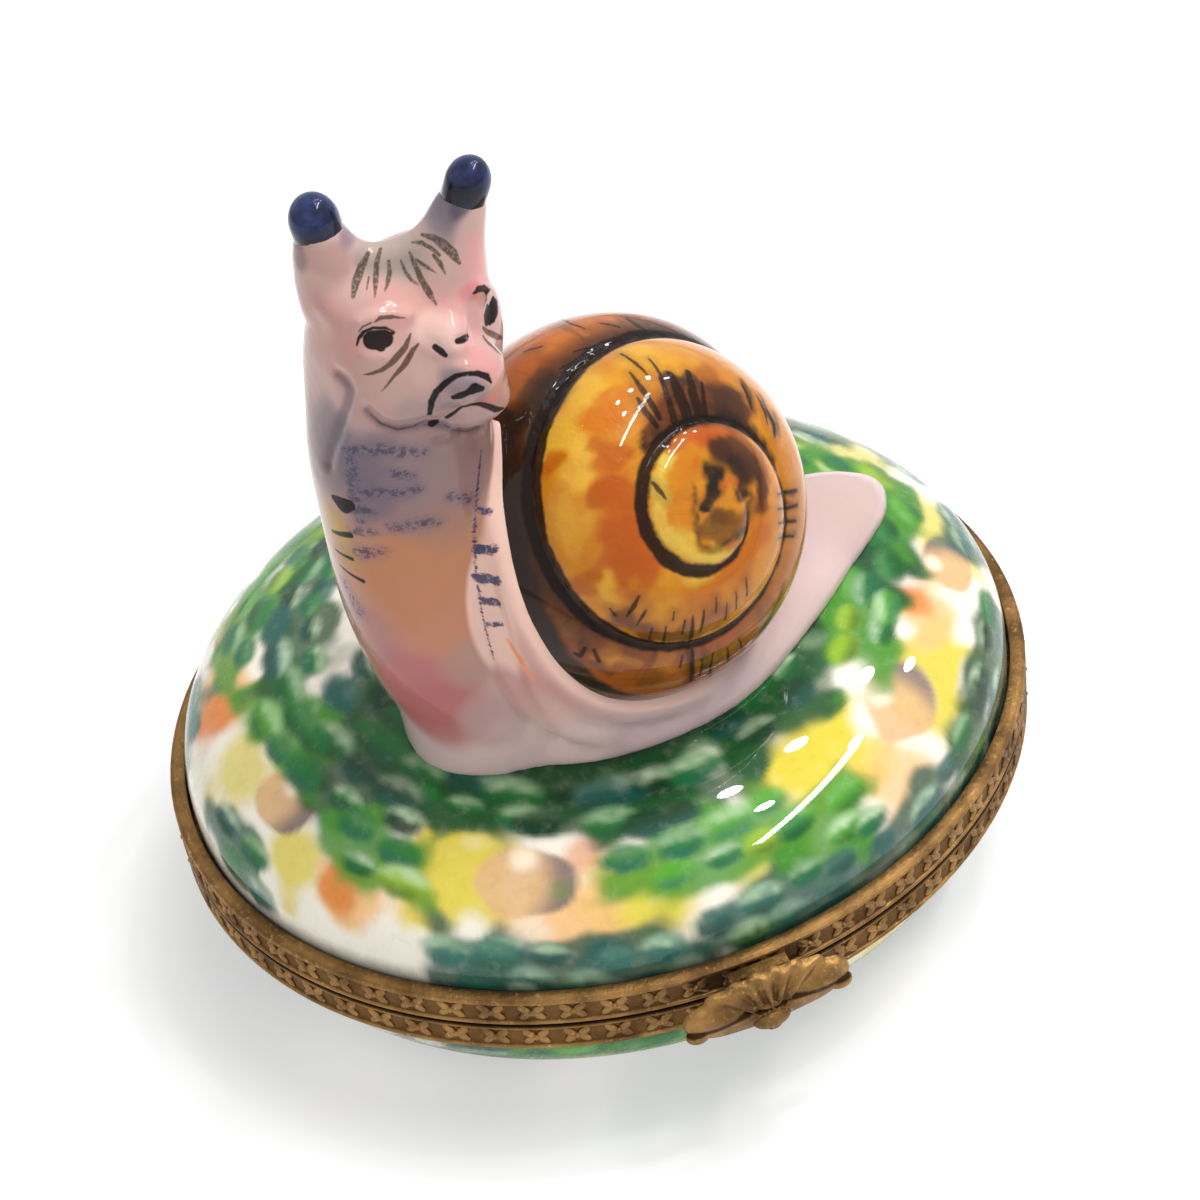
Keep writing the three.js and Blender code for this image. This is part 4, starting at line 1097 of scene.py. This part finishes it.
def lump(bm, middle, radii, yaw=0.0):
    """An egg of clay."""
    stand = Matrix.Translation(middle) @ Matrix.Rotation(yaw, 4, "Z") @ Matrix.Diagonal((*radii, 1))
    bmesh.ops.create_uvsphere(bm, u_segments=28, v_segments=18, radius=1, matrix=stand)


def smoothed(bm, times, factor):
    for _ in range(times):
        bmesh.ops.smooth_vert(bm, verts=bm.verts, factor=factor, use_axis_x=True, use_axis_y=True,
                              use_axis_z=True)


# Neck and head from the lid upwards: x, y, height, half width, half depth, turn to the tail side in degrees
NECK = [
    (-7.2, -7.0, 18.5, 7.3, 5.6, -14), (-7.7, -6.7, 24.2, 6.8, 5.5, -12),
    (-9.5, -6.0, 28.0, 6.0, 5.3, -8), (-10.6, -5.5, 33.0, 5.6, 5.2, -3), (-10.8, -5.2, 39.0, 5.4, 5.0, 2),
    (-10.5, -5.0, 45.0, 5.42, 5.0, 8), (-9.5, -5.1, 49.5, 5.45, 5.0, 14),
    (-9.05, -5.2, 52.5, 5.45, 4.5, 16), (-9.15, -5.3, 55.0, 4.95, 3.5, 16),
    (-9.3, -5.4, 56.4, 4.9, 2.5, 14), (-9.25, -5.5, 57.2, 4.2, 1.6, 12), (-9.2, -5.5, 57.6, 3.0, 0.8, 12),
]
# Foot along the lid: x, y, half width, thickness
FOOT = [
    (-12.6, -7.5, 1.8, 1.3), (-10.9, -7.1, 4.2, 2.4), (-8.2, -6.4, 6.6, 3.3), (-3.5, -5.6, 8.8, 3.6),
    (3.0, -4.4, 9.5, 3.5), (9.5, -2.5, 7.6, 3.1), (15.5, -0.3, 5.1, 2.6), (20.0, 1.6, 3.2, 2.0),
    (22.4, 2.8, 1.2, 1.0),
]
# Rolls of clay where the flesh meets the shell: x, y, height, radius
SHELL_ROLL = [
    (-4.6, -5.2, 43.0, 0.5), (-5.6, -7.3, 41.6, 0.7), (-6.6, -9.2, 39.9, 0.8), (-7.1, -10.6, 38.2, 0.85),
    (-7.2, -11.9, 35.8, 0.9), (-6.9, -13.0, 32.9, 1.0), (-5.6, -13.6, 29.4, 1.1),
    (-3.6, -13.6, 26.4, 1.2), (-0.6, -13.2, 24.4, 1.3), (2.8, -12.7, 23.4, 1.2), (5.4, -11.5, 22.9, 0.95),
    (7.4, -9.8, 22.7, 0.7), (8.9, -7.5, 22.5, 0.4),
]
NECK_ROLL = [
    (-5.4, -5.4, 43.4, 0.5), (-6.0, -7.3, 42.0, 0.65), (-6.6, -9.0, 40.0, 0.75), (-7.0, -10.3, 38.0, 0.8),
    (-7.2, -11.6, 35.0, 0.85), (-7.1, -12.6, 31.6, 1.0), (-6.5, -12.9, 27.9, 1.2),
    (-5.2, -13.0, 24.8, 1.3), (-2.6, -13.2, 22.6, 1.0),
]
FILL_ROLL = [
    (-6.4, -7.4, 42.0, 0.8), (-7.2, -8.6, 40.0, 1.1), (-7.6, -9.5, 38.0, 1.25), (-7.8, -10.3, 35.0, 1.3),
    (-7.8, -11.0, 31.6, 1.45), (-7.3, -11.6, 27.9, 1.6), (-5.6, -12.2, 24.8, 1.5),
]
FACE_YAW = math.radians(22)
FACE_AHEAD = Vector((math.sin(FACE_YAW), -math.cos(FACE_YAW), 0))
FACE_RIGHT = Vector((math.cos(FACE_YAW), math.sin(FACE_YAW), 0))
FACE_AXIS = Vector((-9.5, -5.2, 0))


def on_face(right, ahead, height):
    """A place on the head: to its right as seen, out of the face, and up."""
    return FACE_AXIS + FACE_RIGHT * right + FACE_AHEAD * ahead + Vector((0, 0, height))


# Clay on the face: right, ahead, height, half sizes along them
FACE_LUMPS = [
    (0.2, 2.6, 50.6, 4.0, 3.2, 3.1),
    (0.5, 5.1, 51.1, 2.5, 2.3, 1.65),
    (1.0, 5.25, 49.8, 2.1, 1.7, 1.35),
    (1.1, 5.4, 48.65, 2.05, 1.45, 1.05),
    (0.3, 3.5, 48.2, 3.0, 2.4, 1.35),
    (0.2, 3.7, 53.1, 1.5, 2.0, 2.0),
]
HORNS = {
    "left": (Vector((-12.05, -4.9, 53.65)), Vector((-12.5, -4.8, 58.75))),
    "right": (Vector((-7.2, -5.8, 53.65)), Vector((-4.8, -6.45, 59.65))),
}
# Half widths along each horn, at heights over its seat along its axis; the last two lie under the glazed tip
HORN_WIDTHS = {
    "left": ((-5.1, 2.2), (-3.6, 2.4), (-1.9, 2.22), (-0.75, 2.02), (0.0, 1.84), (0.6, 1.64), (1.2, 1.52),
             (1.3, 1.1)),
    "right": ((-6.4, 3.2), (-5.0, 2.9), (-3.7, 2.55), (-2.2, 2.02), (-1.0, 1.74), (0.0, 1.54), (0.75, 1.4),
              (0.85, 1.0)),
}
TIP_SIZES = {"left": (1.45, 3.5), "right": (1.3, 3.2)}
TIP_SLOPE = 0.3
SADDLE_ROLL = [
    (-11.3, -5.6, 58.9, 0.7), (-10.6, -5.8, 57.95, 0.9), (-9.8, -5.95, 57.65, 0.95),
    (-8.7, -6.2, 57.65, 1.0), (-7.5, -6.5, 58.05, 1.0), (-6.7, -6.7, 58.7, 0.95),
    (-6.0, -6.8, 59.6, 0.75),
]


def away_from(points, path, widths=None):
    """Distance of each point from a line through the path, less the line's half widths."""
    best = np.full(len(points), 1e9)
    widths = widths or [0.0] * len(path)
    for a, b, wide, next_wide in zip(path, path[1:], widths, widths[1:]):
        start, run = np.array(a), np.array(b) - np.array(a)
        share = np.clip((points - start) @ run / (run @ run), 0, 1)
        away = np.linalg.norm(points - start - share[:, None] * run, axis=1)
        best = np.minimum(best, away - wide - (next_wide - wide) * share)
    return best


def from_strokes(points, table):
    """Distance of each point outside the nearest of several strokes."""
    return np.min([away_from(points, path, widths) for path, widths in table], axis=0)


def traced(skin, path):
    """Places on a skin under a line drawn over the photo; past the skin's edge, the nearest places."""
    far = (SHELL_MIDDLE - EYE).length
    places = []
    for spot in path:
        way = sight(spot)
        place, _, _, reach = skin.ray_cast(EYE, way)
        if place is None or reach > far + EDGE_JUMP:
            place = skin.find_nearest(EYE + way * far)[0]
        else:
            far = reach
        places.append(place)
    return places


def seen_on(skin, table):
    """Strokes drawn over the photo, as places on a skin and half widths."""
    return [(traced(skin, path), [wide for x, y, wide in path]) for path in table]


def laid_on(skin, table):
    """Strokes walked in short steps over a skin."""
    laid = []
    for path, widths in table:
        places, wides = [], []
        for a, b, wide, next_wide in zip(path, path[1:], widths, widths[1:]):
            steps = max(1, math.ceil((b - a).length / STROKE_STEP))
            for k in range(steps):
                places.append(skin.find_nearest(a.lerp(b, k / steps))[0])
                wides.append(wide + (next_wide - wide) * k / steps)
        places.append(skin.find_nearest(path[-1])[0])
        wides.append(widths[-1])
        laid.append((places, wides))
    return laid


def refine(bm, table, reach):
    """Splits the skin finer within reach of brush strokes."""
    bm.verts.ensure_lookup_table()
    bm.verts.index_update()
    near = from_strokes(np.array([v.co for v in bm.verts]), table) < reach
    edges = [e for e in bm.edges if near[e.verts[0].index] and near[e.verts[1].index]]
    bmesh.ops.subdivide_edges(bm, edges=edges, cuts=1, use_grid_fill=True)


# Modelled lines of the face: line over the photo, reach, height (below 0 is pressed in)
MODELLED = [
    (LIP_LINE, 0.3, -0.1),
    (JAW_LINE, 0.4, -0.34),
    (FOLD_LINE, 0.4, -0.28),
    ([(435, 346), (445, 354)], 0.32, -0.2),
    ([(457, 340), (467, 335)], 0.32, -0.2),
    ([(370, 337), (384, 336)], 0.8, -0.28),
    ([(360, 322), (374, 317), (392, 313), (407, 315)], 0.42, 0.3),
    ([(366, 356), (384, 357)], 0.4, 0.14),
    ([(491, 301), (489, 321)], 0.6, -0.18),
    ([(474, 287), (486, 286)], 0.45, 0.28),
    ([(431, 401), (446, 382), (466, 373), (486, 376)], 0.3, -0.14),
    ([(455, 312), (459, 334), (461, 354), (463, 370)], 0.95, 0.32),
]


def make_snail_body(material):
    """Makes the snail's body, and gives back its skin, from which the shell's border is measured."""
    bm = bmesh.new()
    rings = []
    for x, y, z, wide, deep, yaw in blended(NECK, 4):
        a = math.radians(yaw)
        across, along = Vector((math.cos(a), math.sin(a), 0)), Vector((-math.sin(a), math.cos(a), 0))
        fullness = 2.2 + 0.8 * float(ease(z, 46.0, 51.0) * ease(z, 57.0, 55.0))
        rings.append((Vector((x, y, z)), across * wide, along * deep, fullness))
    loft(bm, rings, 56)
    rings = []
    run = blended(FOOT, 4)
    for i, (x, y, wide, thick) in enumerate(run):
        ahead = Vector((*run[min(i + 1, len(run) - 1)][:2], 0)) - Vector((*run[max(i - 1, 0)][:2], 0))
        ahead.normalize()
        across = Vector((ahead.y, -ahead.x, 0))
        rings.append((Vector((x, y, dome_height(x, y) - 0.2)), across * wide, Vector((0, 0, thick))))
    loft(bm, rings, 56)
    for right, ahead, height, *radii in FACE_LUMPS:
        lump(bm, on_face(right, ahead, height), radii, FACE_YAW)
    for rows in (SHELL_ROLL, NECK_ROLL, FILL_ROLL):
        roll(bm, rows)
    for side, (root, seat) in HORNS.items():
        axis = (seat - root).normalized()
        across = axis.cross(Vector((0, 1, 0))).normalized()
        deep = axis.cross(across)
        rings = []
        for over, radius in HORN_WIDTHS[side]:
            lean = TIP_SLOPE * radius * max(0.0, min(1.0, over))
            rings.append((seat + axis * over, across * radius, deep * radius + axis * lean))
        loft(bm, rings, 32)
    roll(bm, SADDLE_ROLL)
    for v in bm.verts:
        v.co.z = max(v.co.z, dome_height(v.co.x, v.co.y) - 0.3)
    bmesh.ops.recalc_face_normals(bm, faces=bm.faces)
    clay = bpy.data.meshes.new("snail_clay")
    bm.to_mesh(clay)
    bm.free()
    figure = bpy.data.objects.new("snail_clay", clay)
    bpy.context.scene.collection.objects.link(figure)
    voxels = figure.modifiers.new("one_skin", "REMESH")
    voxels.mode = "VOXEL"
    voxels.voxel_size = SKIN_STEP
    depsgraph = bpy.context.evaluated_depsgraph_get()
    skin = bpy.data.meshes.new_from_object(figure.evaluated_get(depsgraph))
    bpy.data.objects.remove(figure)
    bpy.data.meshes.remove(clay)
    bm = bmesh.new()
    bm.from_mesh(skin)
    bpy.data.meshes.remove(skin)
    smoothed(bm, 10, 0.5)
    plain = BVHTree.FromBMesh(bm)
    fine = seen_on(plain, [line for name, table in BRUSHWORK.items() if name != "crease" for line in table])
    for reach in BODY_SPLITS:
        refine(bm, fine, reach)
    smoothed(bm, 3, 0.4)
    bm.normal_update()
    places = np.array([v.co for v in bm.verts])
    lift = np.zeros(len(places))
    for path, reach, height in MODELLED:
        lift += height * np.exp(-(away_from(places, traced(plain, path)) / reach) ** 2)
    for v, rise in zip(bm.verts, lift):
        if abs(rise) > 1e-3:
            v.co += v.normal * rise
    skin = BVHTree.FromBMesh(bm)
    laid = {name: laid_on(skin, seen_on(skin, table)) for name, table in BRUSHWORK.items()}
    figure = finish_piece("snail_figure", bm, "lid", ["snail_body"], [material], crease=0)
    places = skin_places(figure)
    for name, table in laid.items():
        keep_measure(figure, name, from_strokes(places, table))
    loose = drifted(places, 2.6, 0.8)
    patch = np.array([noise.noise(Vector(p) / 5.0) for p in places])
    tint = np.tile(np.array(paint(214, 192, 186)[:3]), (len(places), 1))
    ground = [(ease(patch, -0.2, 0.4) * 0.8, (190, 170, 172))]
    ground += [(ease(loose[:, 2], low, high), colour) for low, high, colour in BODY_GROUND]
    for share, colour in ground:
        tint += share[:, None] * (np.array(paint(*colour)[:3]) - tint)
    keep_paint(figure, washed(loose, tint, BODY_WASHES) * BODY_DEPTH)
    return skin


def whorl_turn(out, angle):
    """Turns of the spiral passed at an angle from the spire and one round it; whole on the line."""
    passed = math.log(math.tan(min(max(out, 0.02), 3.1) / 2))
    return (passed - SPIRAL_START) / SPIRAL_GROWTH + angle / math.tau


def make_shell(material, flesh):
    bm = bmesh.new()
    stand = Matrix((SPIRE_RIGHT, SPIRE_UP, SPIRE)).transposed().to_4x4()
    bmesh.ops.create_uvsphere(bm, u_segments=220, v_segments=150, radius=1, matrix=stand)
    for v in bm.verts:
        d = v.co.normalized()
        out = math.acos(max(-1, min(1, d.dot(SPIRE))))
        turn_here = whorl_turn(out, math.atan2(d.dot(SPIRE_UP), d.dot(SPIRE_RIGHT)))
        share = turn_here - math.floor(turn_here)
        width = SHELL_RADIUS * math.sin(out) * SPIRAL_GROWTH
        width = min(width, WHORL_WIDEST) * (1 - max(0.0, min(1.0, (out - 1.3) / 0.6)))
        swell = WHORL_SWELL * width * (4 * share * (1 - share)) ** 0.6
        spire_lift = SPIRE_LIFT * max(math.cos(out), 0.0) ** 2
        v.co = SHELL_MIDDLE + d * (SHELL_RADIUS + spire_lift + swell)
        v.co.z = max(v.co.z, dome_height(v.co.x, v.co.y) + 0.4)
    hatching = seen_on(BVHTree.FromBMesh(bm), HATCH_STROKES)
    for reach in SHELL_SPLITS:
        refine(bm, hatching, reach)
    skin = BVHTree.FromBMesh(bm)
    piece = finish_piece("snail_shell_whorls", bm, "lid", ["snail_shell"], [material],
                         crease=0)
    places = skin_places(piece)
    keep_measure(piece, "hatch", from_strokes(places, laid_on(skin, hatching)))
    keep_measure(piece, "flesh", [flesh.find_nearest(Vector(p))[3] for p in places])
    off = places - np.array(SHELL_MIDDLE)
    angle = np.arctan2(off @ np.array(SPIRE_UP), off @ np.array(SPIRE_RIGHT))
    level = off @ np.array(SPIRE) / np.linalg.norm(off, axis=1)
    out = np.arccos(np.clip(level, -0.999, 0.999))
    passed = (np.log(np.tan(out / 2)) - SPIRAL_START) / SPIRAL_GROWTH
    age = np.floor(passed + angle / math.tau) - angle / math.tau
    tint = np.tile(np.array(paint(206, 138, 42)[:3]), (len(places), 1))
    tint += ease(age, 0.95, 1.3)[:, None] * (np.array(paint(150, 80, 26)[:3]) - tint)
    loose = drifted(places, 0.7, 0.22)
    washes = [(traced(skin, [spot])[0], *rest) for spot, *rest in SHELL_WASHES]
    tint = washed(drifted(loose, 2.4, 0.7), tint, washes)
    for colour, strength, path in SHELL_DABS:
        dab = laid_on(skin, seen_on(skin, [path]))
        line, reach = np.array(dab[0][0]), max(dab[0][1]) + 0.5
        close = (loose > line.min(axis=0) - reach) & (loose < line.max(axis=0) + reach)
        near = np.nonzero(np.all(close, axis=1))[0]
        share = ease(from_strokes(loose[near], dab), 0.3, -0.15) * strength
        tint[near] += share[:, None] * (np.array(paint(*colour)[:3]) - tint[near])
    keep_paint(piece, tint * SHELL_DEPTH)
    return piece


def make_horn_tip(side, material):
    root, seat = HORNS[side]
    axis = (seat - root).normalized()
    bm = bmesh.new()
    radius, top = TIP_SIZES[side]
    outline = [(0, 0.1), (radius * 0.9, 0.1), (radius, 0.3)]
    for i in range(17):
        a = math.pi / 2 * i / 16
        height = top - radius * 1.2 + radius * 1.2 * math.sin(a)
        outline.append((radius * math.cos(a) if i < 16 else 0, height))
    turn(bm, outline, closed=False, steps=40, oval=1)
    lean = Vector((0, 0, 1)).rotation_difference(axis).to_matrix().to_4x4()
    bmesh.ops.transform(bm, matrix=Matrix.Translation(seat) @ lean, verts=bm.verts)
    node = f"snail_{side}_horn_tip"
    return finish_piece(f"horn_tip_{side}", bm, "lid", [node], [material], crease=0)


def soft_block(bm, low, high, edge=SOFT_EDGE, segments=2):
    """A block between two corners with rounded edges."""
    low, high = Vector(low), Vector(high)
    stand = Matrix.Translation((low + high) / 2) @ Matrix.Diagonal((*(high - low), 1))
    block = bmesh.ops.create_cube(bm, size=1, matrix=stand)["verts"]
    edges = list({e for v in block for e in v.link_edges})
    bmesh.ops.bevel(bm, geom=edges, affect="EDGES", offset=edge, segments=segments, profile=0.5,
                    material=-1)


def lying(bm, outline, closed=True, middle=(0, 0, 0)):
    """Turns an outline of (along x, radius) about the left-right axis."""
    spun(bm, [(along, 0, radius) for along, radius in outline], (1, 0, 0), closed, 32)
    bmesh.ops.translate(bm, vec=middle, verts=bm.verts)


def make_knuckle(side, order, body, name, material):
    """One barrel of the hinge with the foot that is soldered to its band."""
    bm = bmesh.new()
    half = KNUCKLE_LENGTH / 2
    r, e = KNUCKLE_RADIUS, KNUCKLE_EDGE
    lying(bm, [(-half, KNUCKLE_BORE), (-half, r - e), (-half + e * 0.3, r - e * 0.3), (-half + e, r),
               (half - e, r), (half - e * 0.3, r - e * 0.3), (half, r - e), (half, KNUCKLE_BORE)],
          middle=(order * KNUCKLE_PITCH, HINGE_Y, HINGE_Z))
    low, high = (Vector(c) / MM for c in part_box(name))
    start = order * KNUCKLE_PITCH - half + KNUCKLE_FOOT_INSET
    end = order * KNUCKLE_PITCH + half - KNUCKLE_FOOT_INSET
    back = HINGE_Y - KNUCKLE_FOOT_BACK
    if body == "base":
        soft_block(bm, (start, low.y, low.z), (end, back, HINGE_Z - KNUCKLE_FOOT_LEVEL))
    else:
        soft_block(bm, (start, low.y, HINGE_Z + KNUCKLE_FOOT_LEVEL), (end, back, high.z))
    return finish_piece(f"knuckle_{side}", bm, body, [name], [material])


def make_pin(material):
    bm = bmesh.new()
    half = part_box("hinge_pin")[1].x / MM
    r, head = PIN_RADIUS, PIN_HEAD
    lying(bm, [(-half, 0), (-half + 0.05, 0.45), (-half + 0.2, 0.72), (-half + 0.45, head),
               (-half + 0.66, head - 0.04), (-half + 0.7, r), (half - 0.7, r), (half - 0.66, head - 0.04),
               (half - 0.45, head), (half - 0.2, 0.72), (half - 0.05, 0.45), (half, 0)],
          closed=False, middle=(0, HINGE_Y, HINGE_Z))
    return finish_piece("hinge_rod", bm, "base", ["hinge_pin"], [material])


def make_catch(material):
    bm = bmesh.new()
    low, high = (Vector(c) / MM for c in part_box("clasp_catch"))
    soft_block(bm, low, high, min(high.y - low.y, high.z - low.z) * 0.42, 5)
    return finish_piece("catch_bar", bm, "base", ["clasp_catch"], [material])


def make_tongue(material):
    """The spring: a soldered root, a straight strip and the hook under the catch."""
    bm = bmesh.new()
    low, high = (Vector(c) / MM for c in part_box("clasp_tongue"))
    front = low.y
    soft_block(bm, (low.x, front, low.z), (high.x, front + TONGUE_THICKNESS, high.z))
    soft_block(bm, (low.x, front, TONGUE_ROOT), (high.x, high.y, high.z))
    soft_block(bm, (low.x, front, low.z), (high.x, front + HOOK_REACH, HOOK_TOP))
    return finish_piece("spring_tongue", bm, "clasp", ["clasp_tongue"], [material])


def make_ornament(material):
    """The cast thumb piece: a shell fan, fine flutes in the middle and a smooth lobe at each side."""
    bm = bmesh.new()
    low, high = (Vector(c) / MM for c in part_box("clasp_ornament"))
    back, half = high.y, high.x - 0.5
    middle = Vector((0, back - 0.1, low.z + 2.55))
    root = Vector((0, 0, -FAN_HEIGHT * 0.62))
    facing = Matrix.Rotation(math.pi / 2, 4, "X")
    fan = bmesh.ops.create_uvsphere(bm, u_segments=160, v_segments=40, radius=1, matrix=facing)["verts"]
    for v in fan:
        x, y, z = v.co.x * half, v.co.y, v.co.z * FAN_HEIGHT
        lean = math.atan2(x, z - root.z)
        reach = math.hypot(x, (z - root.z) * 1.6) / half
        fluted = ease(abs(lean), 1.05, 0.8) * ease(reach, 0.12, 0.4)
        lobe = ease(abs(lean), 0.85, 1.1)
        flute = fluted * math.cos(FLUTES * lean)
        edge = 1 - 0.04 * flute * reach - 0.1 * lobe * ease(abs(abs(lean) - 1.0), 0.14, 0.0)
        depth = max(-y, 0.0) ** 0.7
        swell = 0.85 + 0.22 * flute + 0.3 * lobe * ease(abs(x) / half, 0.3, 0.75)
        swell -= 0.4 * ease(abs(abs(lean) - 0.98), 0.16, 0.0) * ease(reach, 0.1, 0.3)
        v.co = middle + Vector((x * edge, -depth * swell if y < 0 else 0.1, z * edge))
    lump(bm, middle + root + Vector((0, -0.62, -0.1)), (1.25, 0.62, 0.7))
    for k in range(-3, 4):
        ray = Vector((math.sin(k * 0.24), 0, -math.cos(k * 0.24)))
        lump(bm, middle + root + Vector((0, -0.66, -0.02)) + ray * 0.55, (0.13, 0.5, 0.34))
    for side in (-1, 1):
        lump(bm, middle + Vector((side * half * 0.86, -0.42, -0.75)), (0.8, 0.5, 0.62))
    return finish_piece("fan_ornament", bm, "clasp", ["clasp_ornament"], [material])


def set_camera():
    lens = bpy.data.cameras.new("photo_view")
    lens.sensor_width = 36
    lens.lens = lens.sensor_width * PHOTO_FOCUS / PHOTO_PIXELS
    lens.clip_start = 0.01
    lens.clip_end = 20
    viewer = bpy.data.objects.new("photo_view", lens)
    ahead = sight((PHOTO_PIXELS / 2, PHOTO_PIXELS / 2))
    right = ahead.cross(EYE_UP).normalized()
    up = right.cross(ahead)
    turned = Matrix((right, up, -ahead)).transposed().to_4x4()
    viewer.matrix_world = Matrix.Translation(EYE * MM) @ turned
    bpy.context.scene.collection.objects.link(viewer)
    bpy.context.scene.camera = viewer


def lamp(name, place, aim, size, power, height=None, along=(1, 0, 0), mirrored=True):
    """A flat lamp that faces its aim, its length along a direction; it may stay out of reflections."""
    light = bpy.data.lights.new(name, "AREA")
    light.size = size
    light.shape = "DISK"
    if height:
        light.shape = "RECTANGLE"
        light.size_y = height
    light.energy = power
    back = (Vector(place) - Vector(aim)).normalized()
    up = back.cross(Vector(along)).normalized()
    stand = bpy.data.objects.new(name, light)
    stand.matrix_world = Matrix.Translation(place) @ Matrix((up.cross(back), up, back)).transposed().to_4x4()
    stand.visible_glossy = mirrored
    bpy.context.scene.collection.objects.link(stand)


# Places of the small ceiling lamps, in metres
BULBS = [
    (0.25, 0.01, 0.39), (0.30, 0.10, 0.32), (0.24, 0.13, 0.36), (0.12, 0.04, 0.45), (0.18, 0.08, 0.42),
    (0.15, -0.05, 0.44),
]


def set_studio():
    scene = bpy.context.scene
    scene.view_settings.view_transform = "Standard"
    world = bpy.data.worlds.new("studio")
    world.use_nodes = True
    nodes, links = world.node_tree.nodes, world.node_tree.links
    nodes.clear()
    path = nodes.new("ShaderNodeLightPath")
    seen = nodes.new("ShaderNodeMath")
    seen.operation = "MAXIMUM"
    links.new(path.outputs["Is Camera Ray"], seen.inputs[0])
    shiny = nodes.new("ShaderNodeMath")
    shiny.operation = "MAXIMUM"
    links.new(path.outputs["Is Glossy Ray"], shiny.inputs[0])
    links.new(path.outputs["Is Transmission Ray"], shiny.inputs[1])
    links.new(shiny.outputs[0], seen.inputs[1])
    soft = nodes.new("ShaderNodeBackground")
    soft.inputs["Color"].default_value = (1, 1, 1, 1)
    soft.inputs["Strength"].default_value = 0.40
    white = nodes.new("ShaderNodeBackground")
    white.inputs["Color"].default_value = (1, 1, 1, 1)
    white.inputs["Strength"].default_value = 1.0
    choose = nodes.new("ShaderNodeMixShader")
    links.new(seen.outputs[0], choose.inputs[0])
    links.new(soft.outputs[0], choose.inputs[1])
    links.new(white.outputs[0], choose.inputs[2])
    out = nodes.new("ShaderNodeOutputWorld")
    links.new(choose.outputs[0], out.inputs[0])
    scene.world = world
    middle = (0, 0, 0.028)
    lamp("ceiling_panel", (0.10, 0.05, 0.48), middle, 0.24, 0.75, mirrored=False)
    lamp("ceiling_tube", (0.21, -0.106, 0.425), middle, 0.25, 0.9, height=0.02, along=(0.115, 0.2, -0.01))
    for k, place in enumerate(BULBS):
        lamp(f"ceiling_bulb_{k}", place, middle, 0.024, 0.14)
    lamp("side_window", (-0.40, -0.22, 0.28), middle, 0.26, 0.5, mirrored=False)
    lamp("front_panel", (0.04, -0.42, 0.34), middle, 0.22, 0.35, mirrored=False)
    floor = Finish("floor_card")
    mottle = floor.clouds(40.0, 2)
    tint = floor.mix(mottle, (0.93, 0.93, 0.93, 1), (0.95, 0.95, 0.95, 1))
    card = floor.add("ShaderNodeBsdfDiffuse", {}, {"Color": tint})
    glow = floor.add("ShaderNodeEmission", {}, {"Color": (1, 1, 1, 1), "Strength": 1.0})
    lit = floor.add("ShaderNodeLightPath", {}, [], "Is Camera Ray") * 0.4
    both = floor.add("ShaderNodeMixShader", {}, [lit, card, glow])
    floor.add("ShaderNodeOutputMaterial", {}, {"Surface": both})
    bm = bmesh.new()
    bmesh.ops.create_grid(bm, x_segments=1, y_segments=1, size=3.0)
    mesh = bpy.data.meshes.new("floor")
    bm.to_mesh(mesh)
    bm.free()
    mesh.materials.append(floor.material)
    ground = bpy.data.objects.new("floor", mesh)
    scene.collection.objects.link(ground)


set_camera()
set_studio()
brass = antique_brass()
inside_glaze = white_glaze()
make_lid_dome(glazed_foliage("painted_lid"), inside_glaze)
make_base_bowl(glazed_foliage("painted_bowl", 0.5), inside_glaze)
make_band("lid_band", "lid_bezel", "lid", brass, PARTING + PARTING_GAP, True)
make_band("base_band", "base_bezel", "base", brass, PARTING - BAND_HEIGHT, False)
make_collar(brass)
flesh = make_snail_body(body_paint())
make_shell(shell_paint(), flesh)
for side in HORNS:
    make_horn_tip(side, horn_paint(side))
for side, order in (("left", -2), ("middle", 0), ("right", 2)):
    make_knuckle(f"base_{side}", order, "base", f"hinge_base_knuckle_{side}", brass)
for side, order in (("left", -1), ("right", 1)):
    make_knuckle(f"lid_{side}", order, "lid", f"hinge_lid_knuckle_{side}", brass)
make_pin(brass)
make_catch(brass)
make_tongue(brass)
make_ornament(brass)
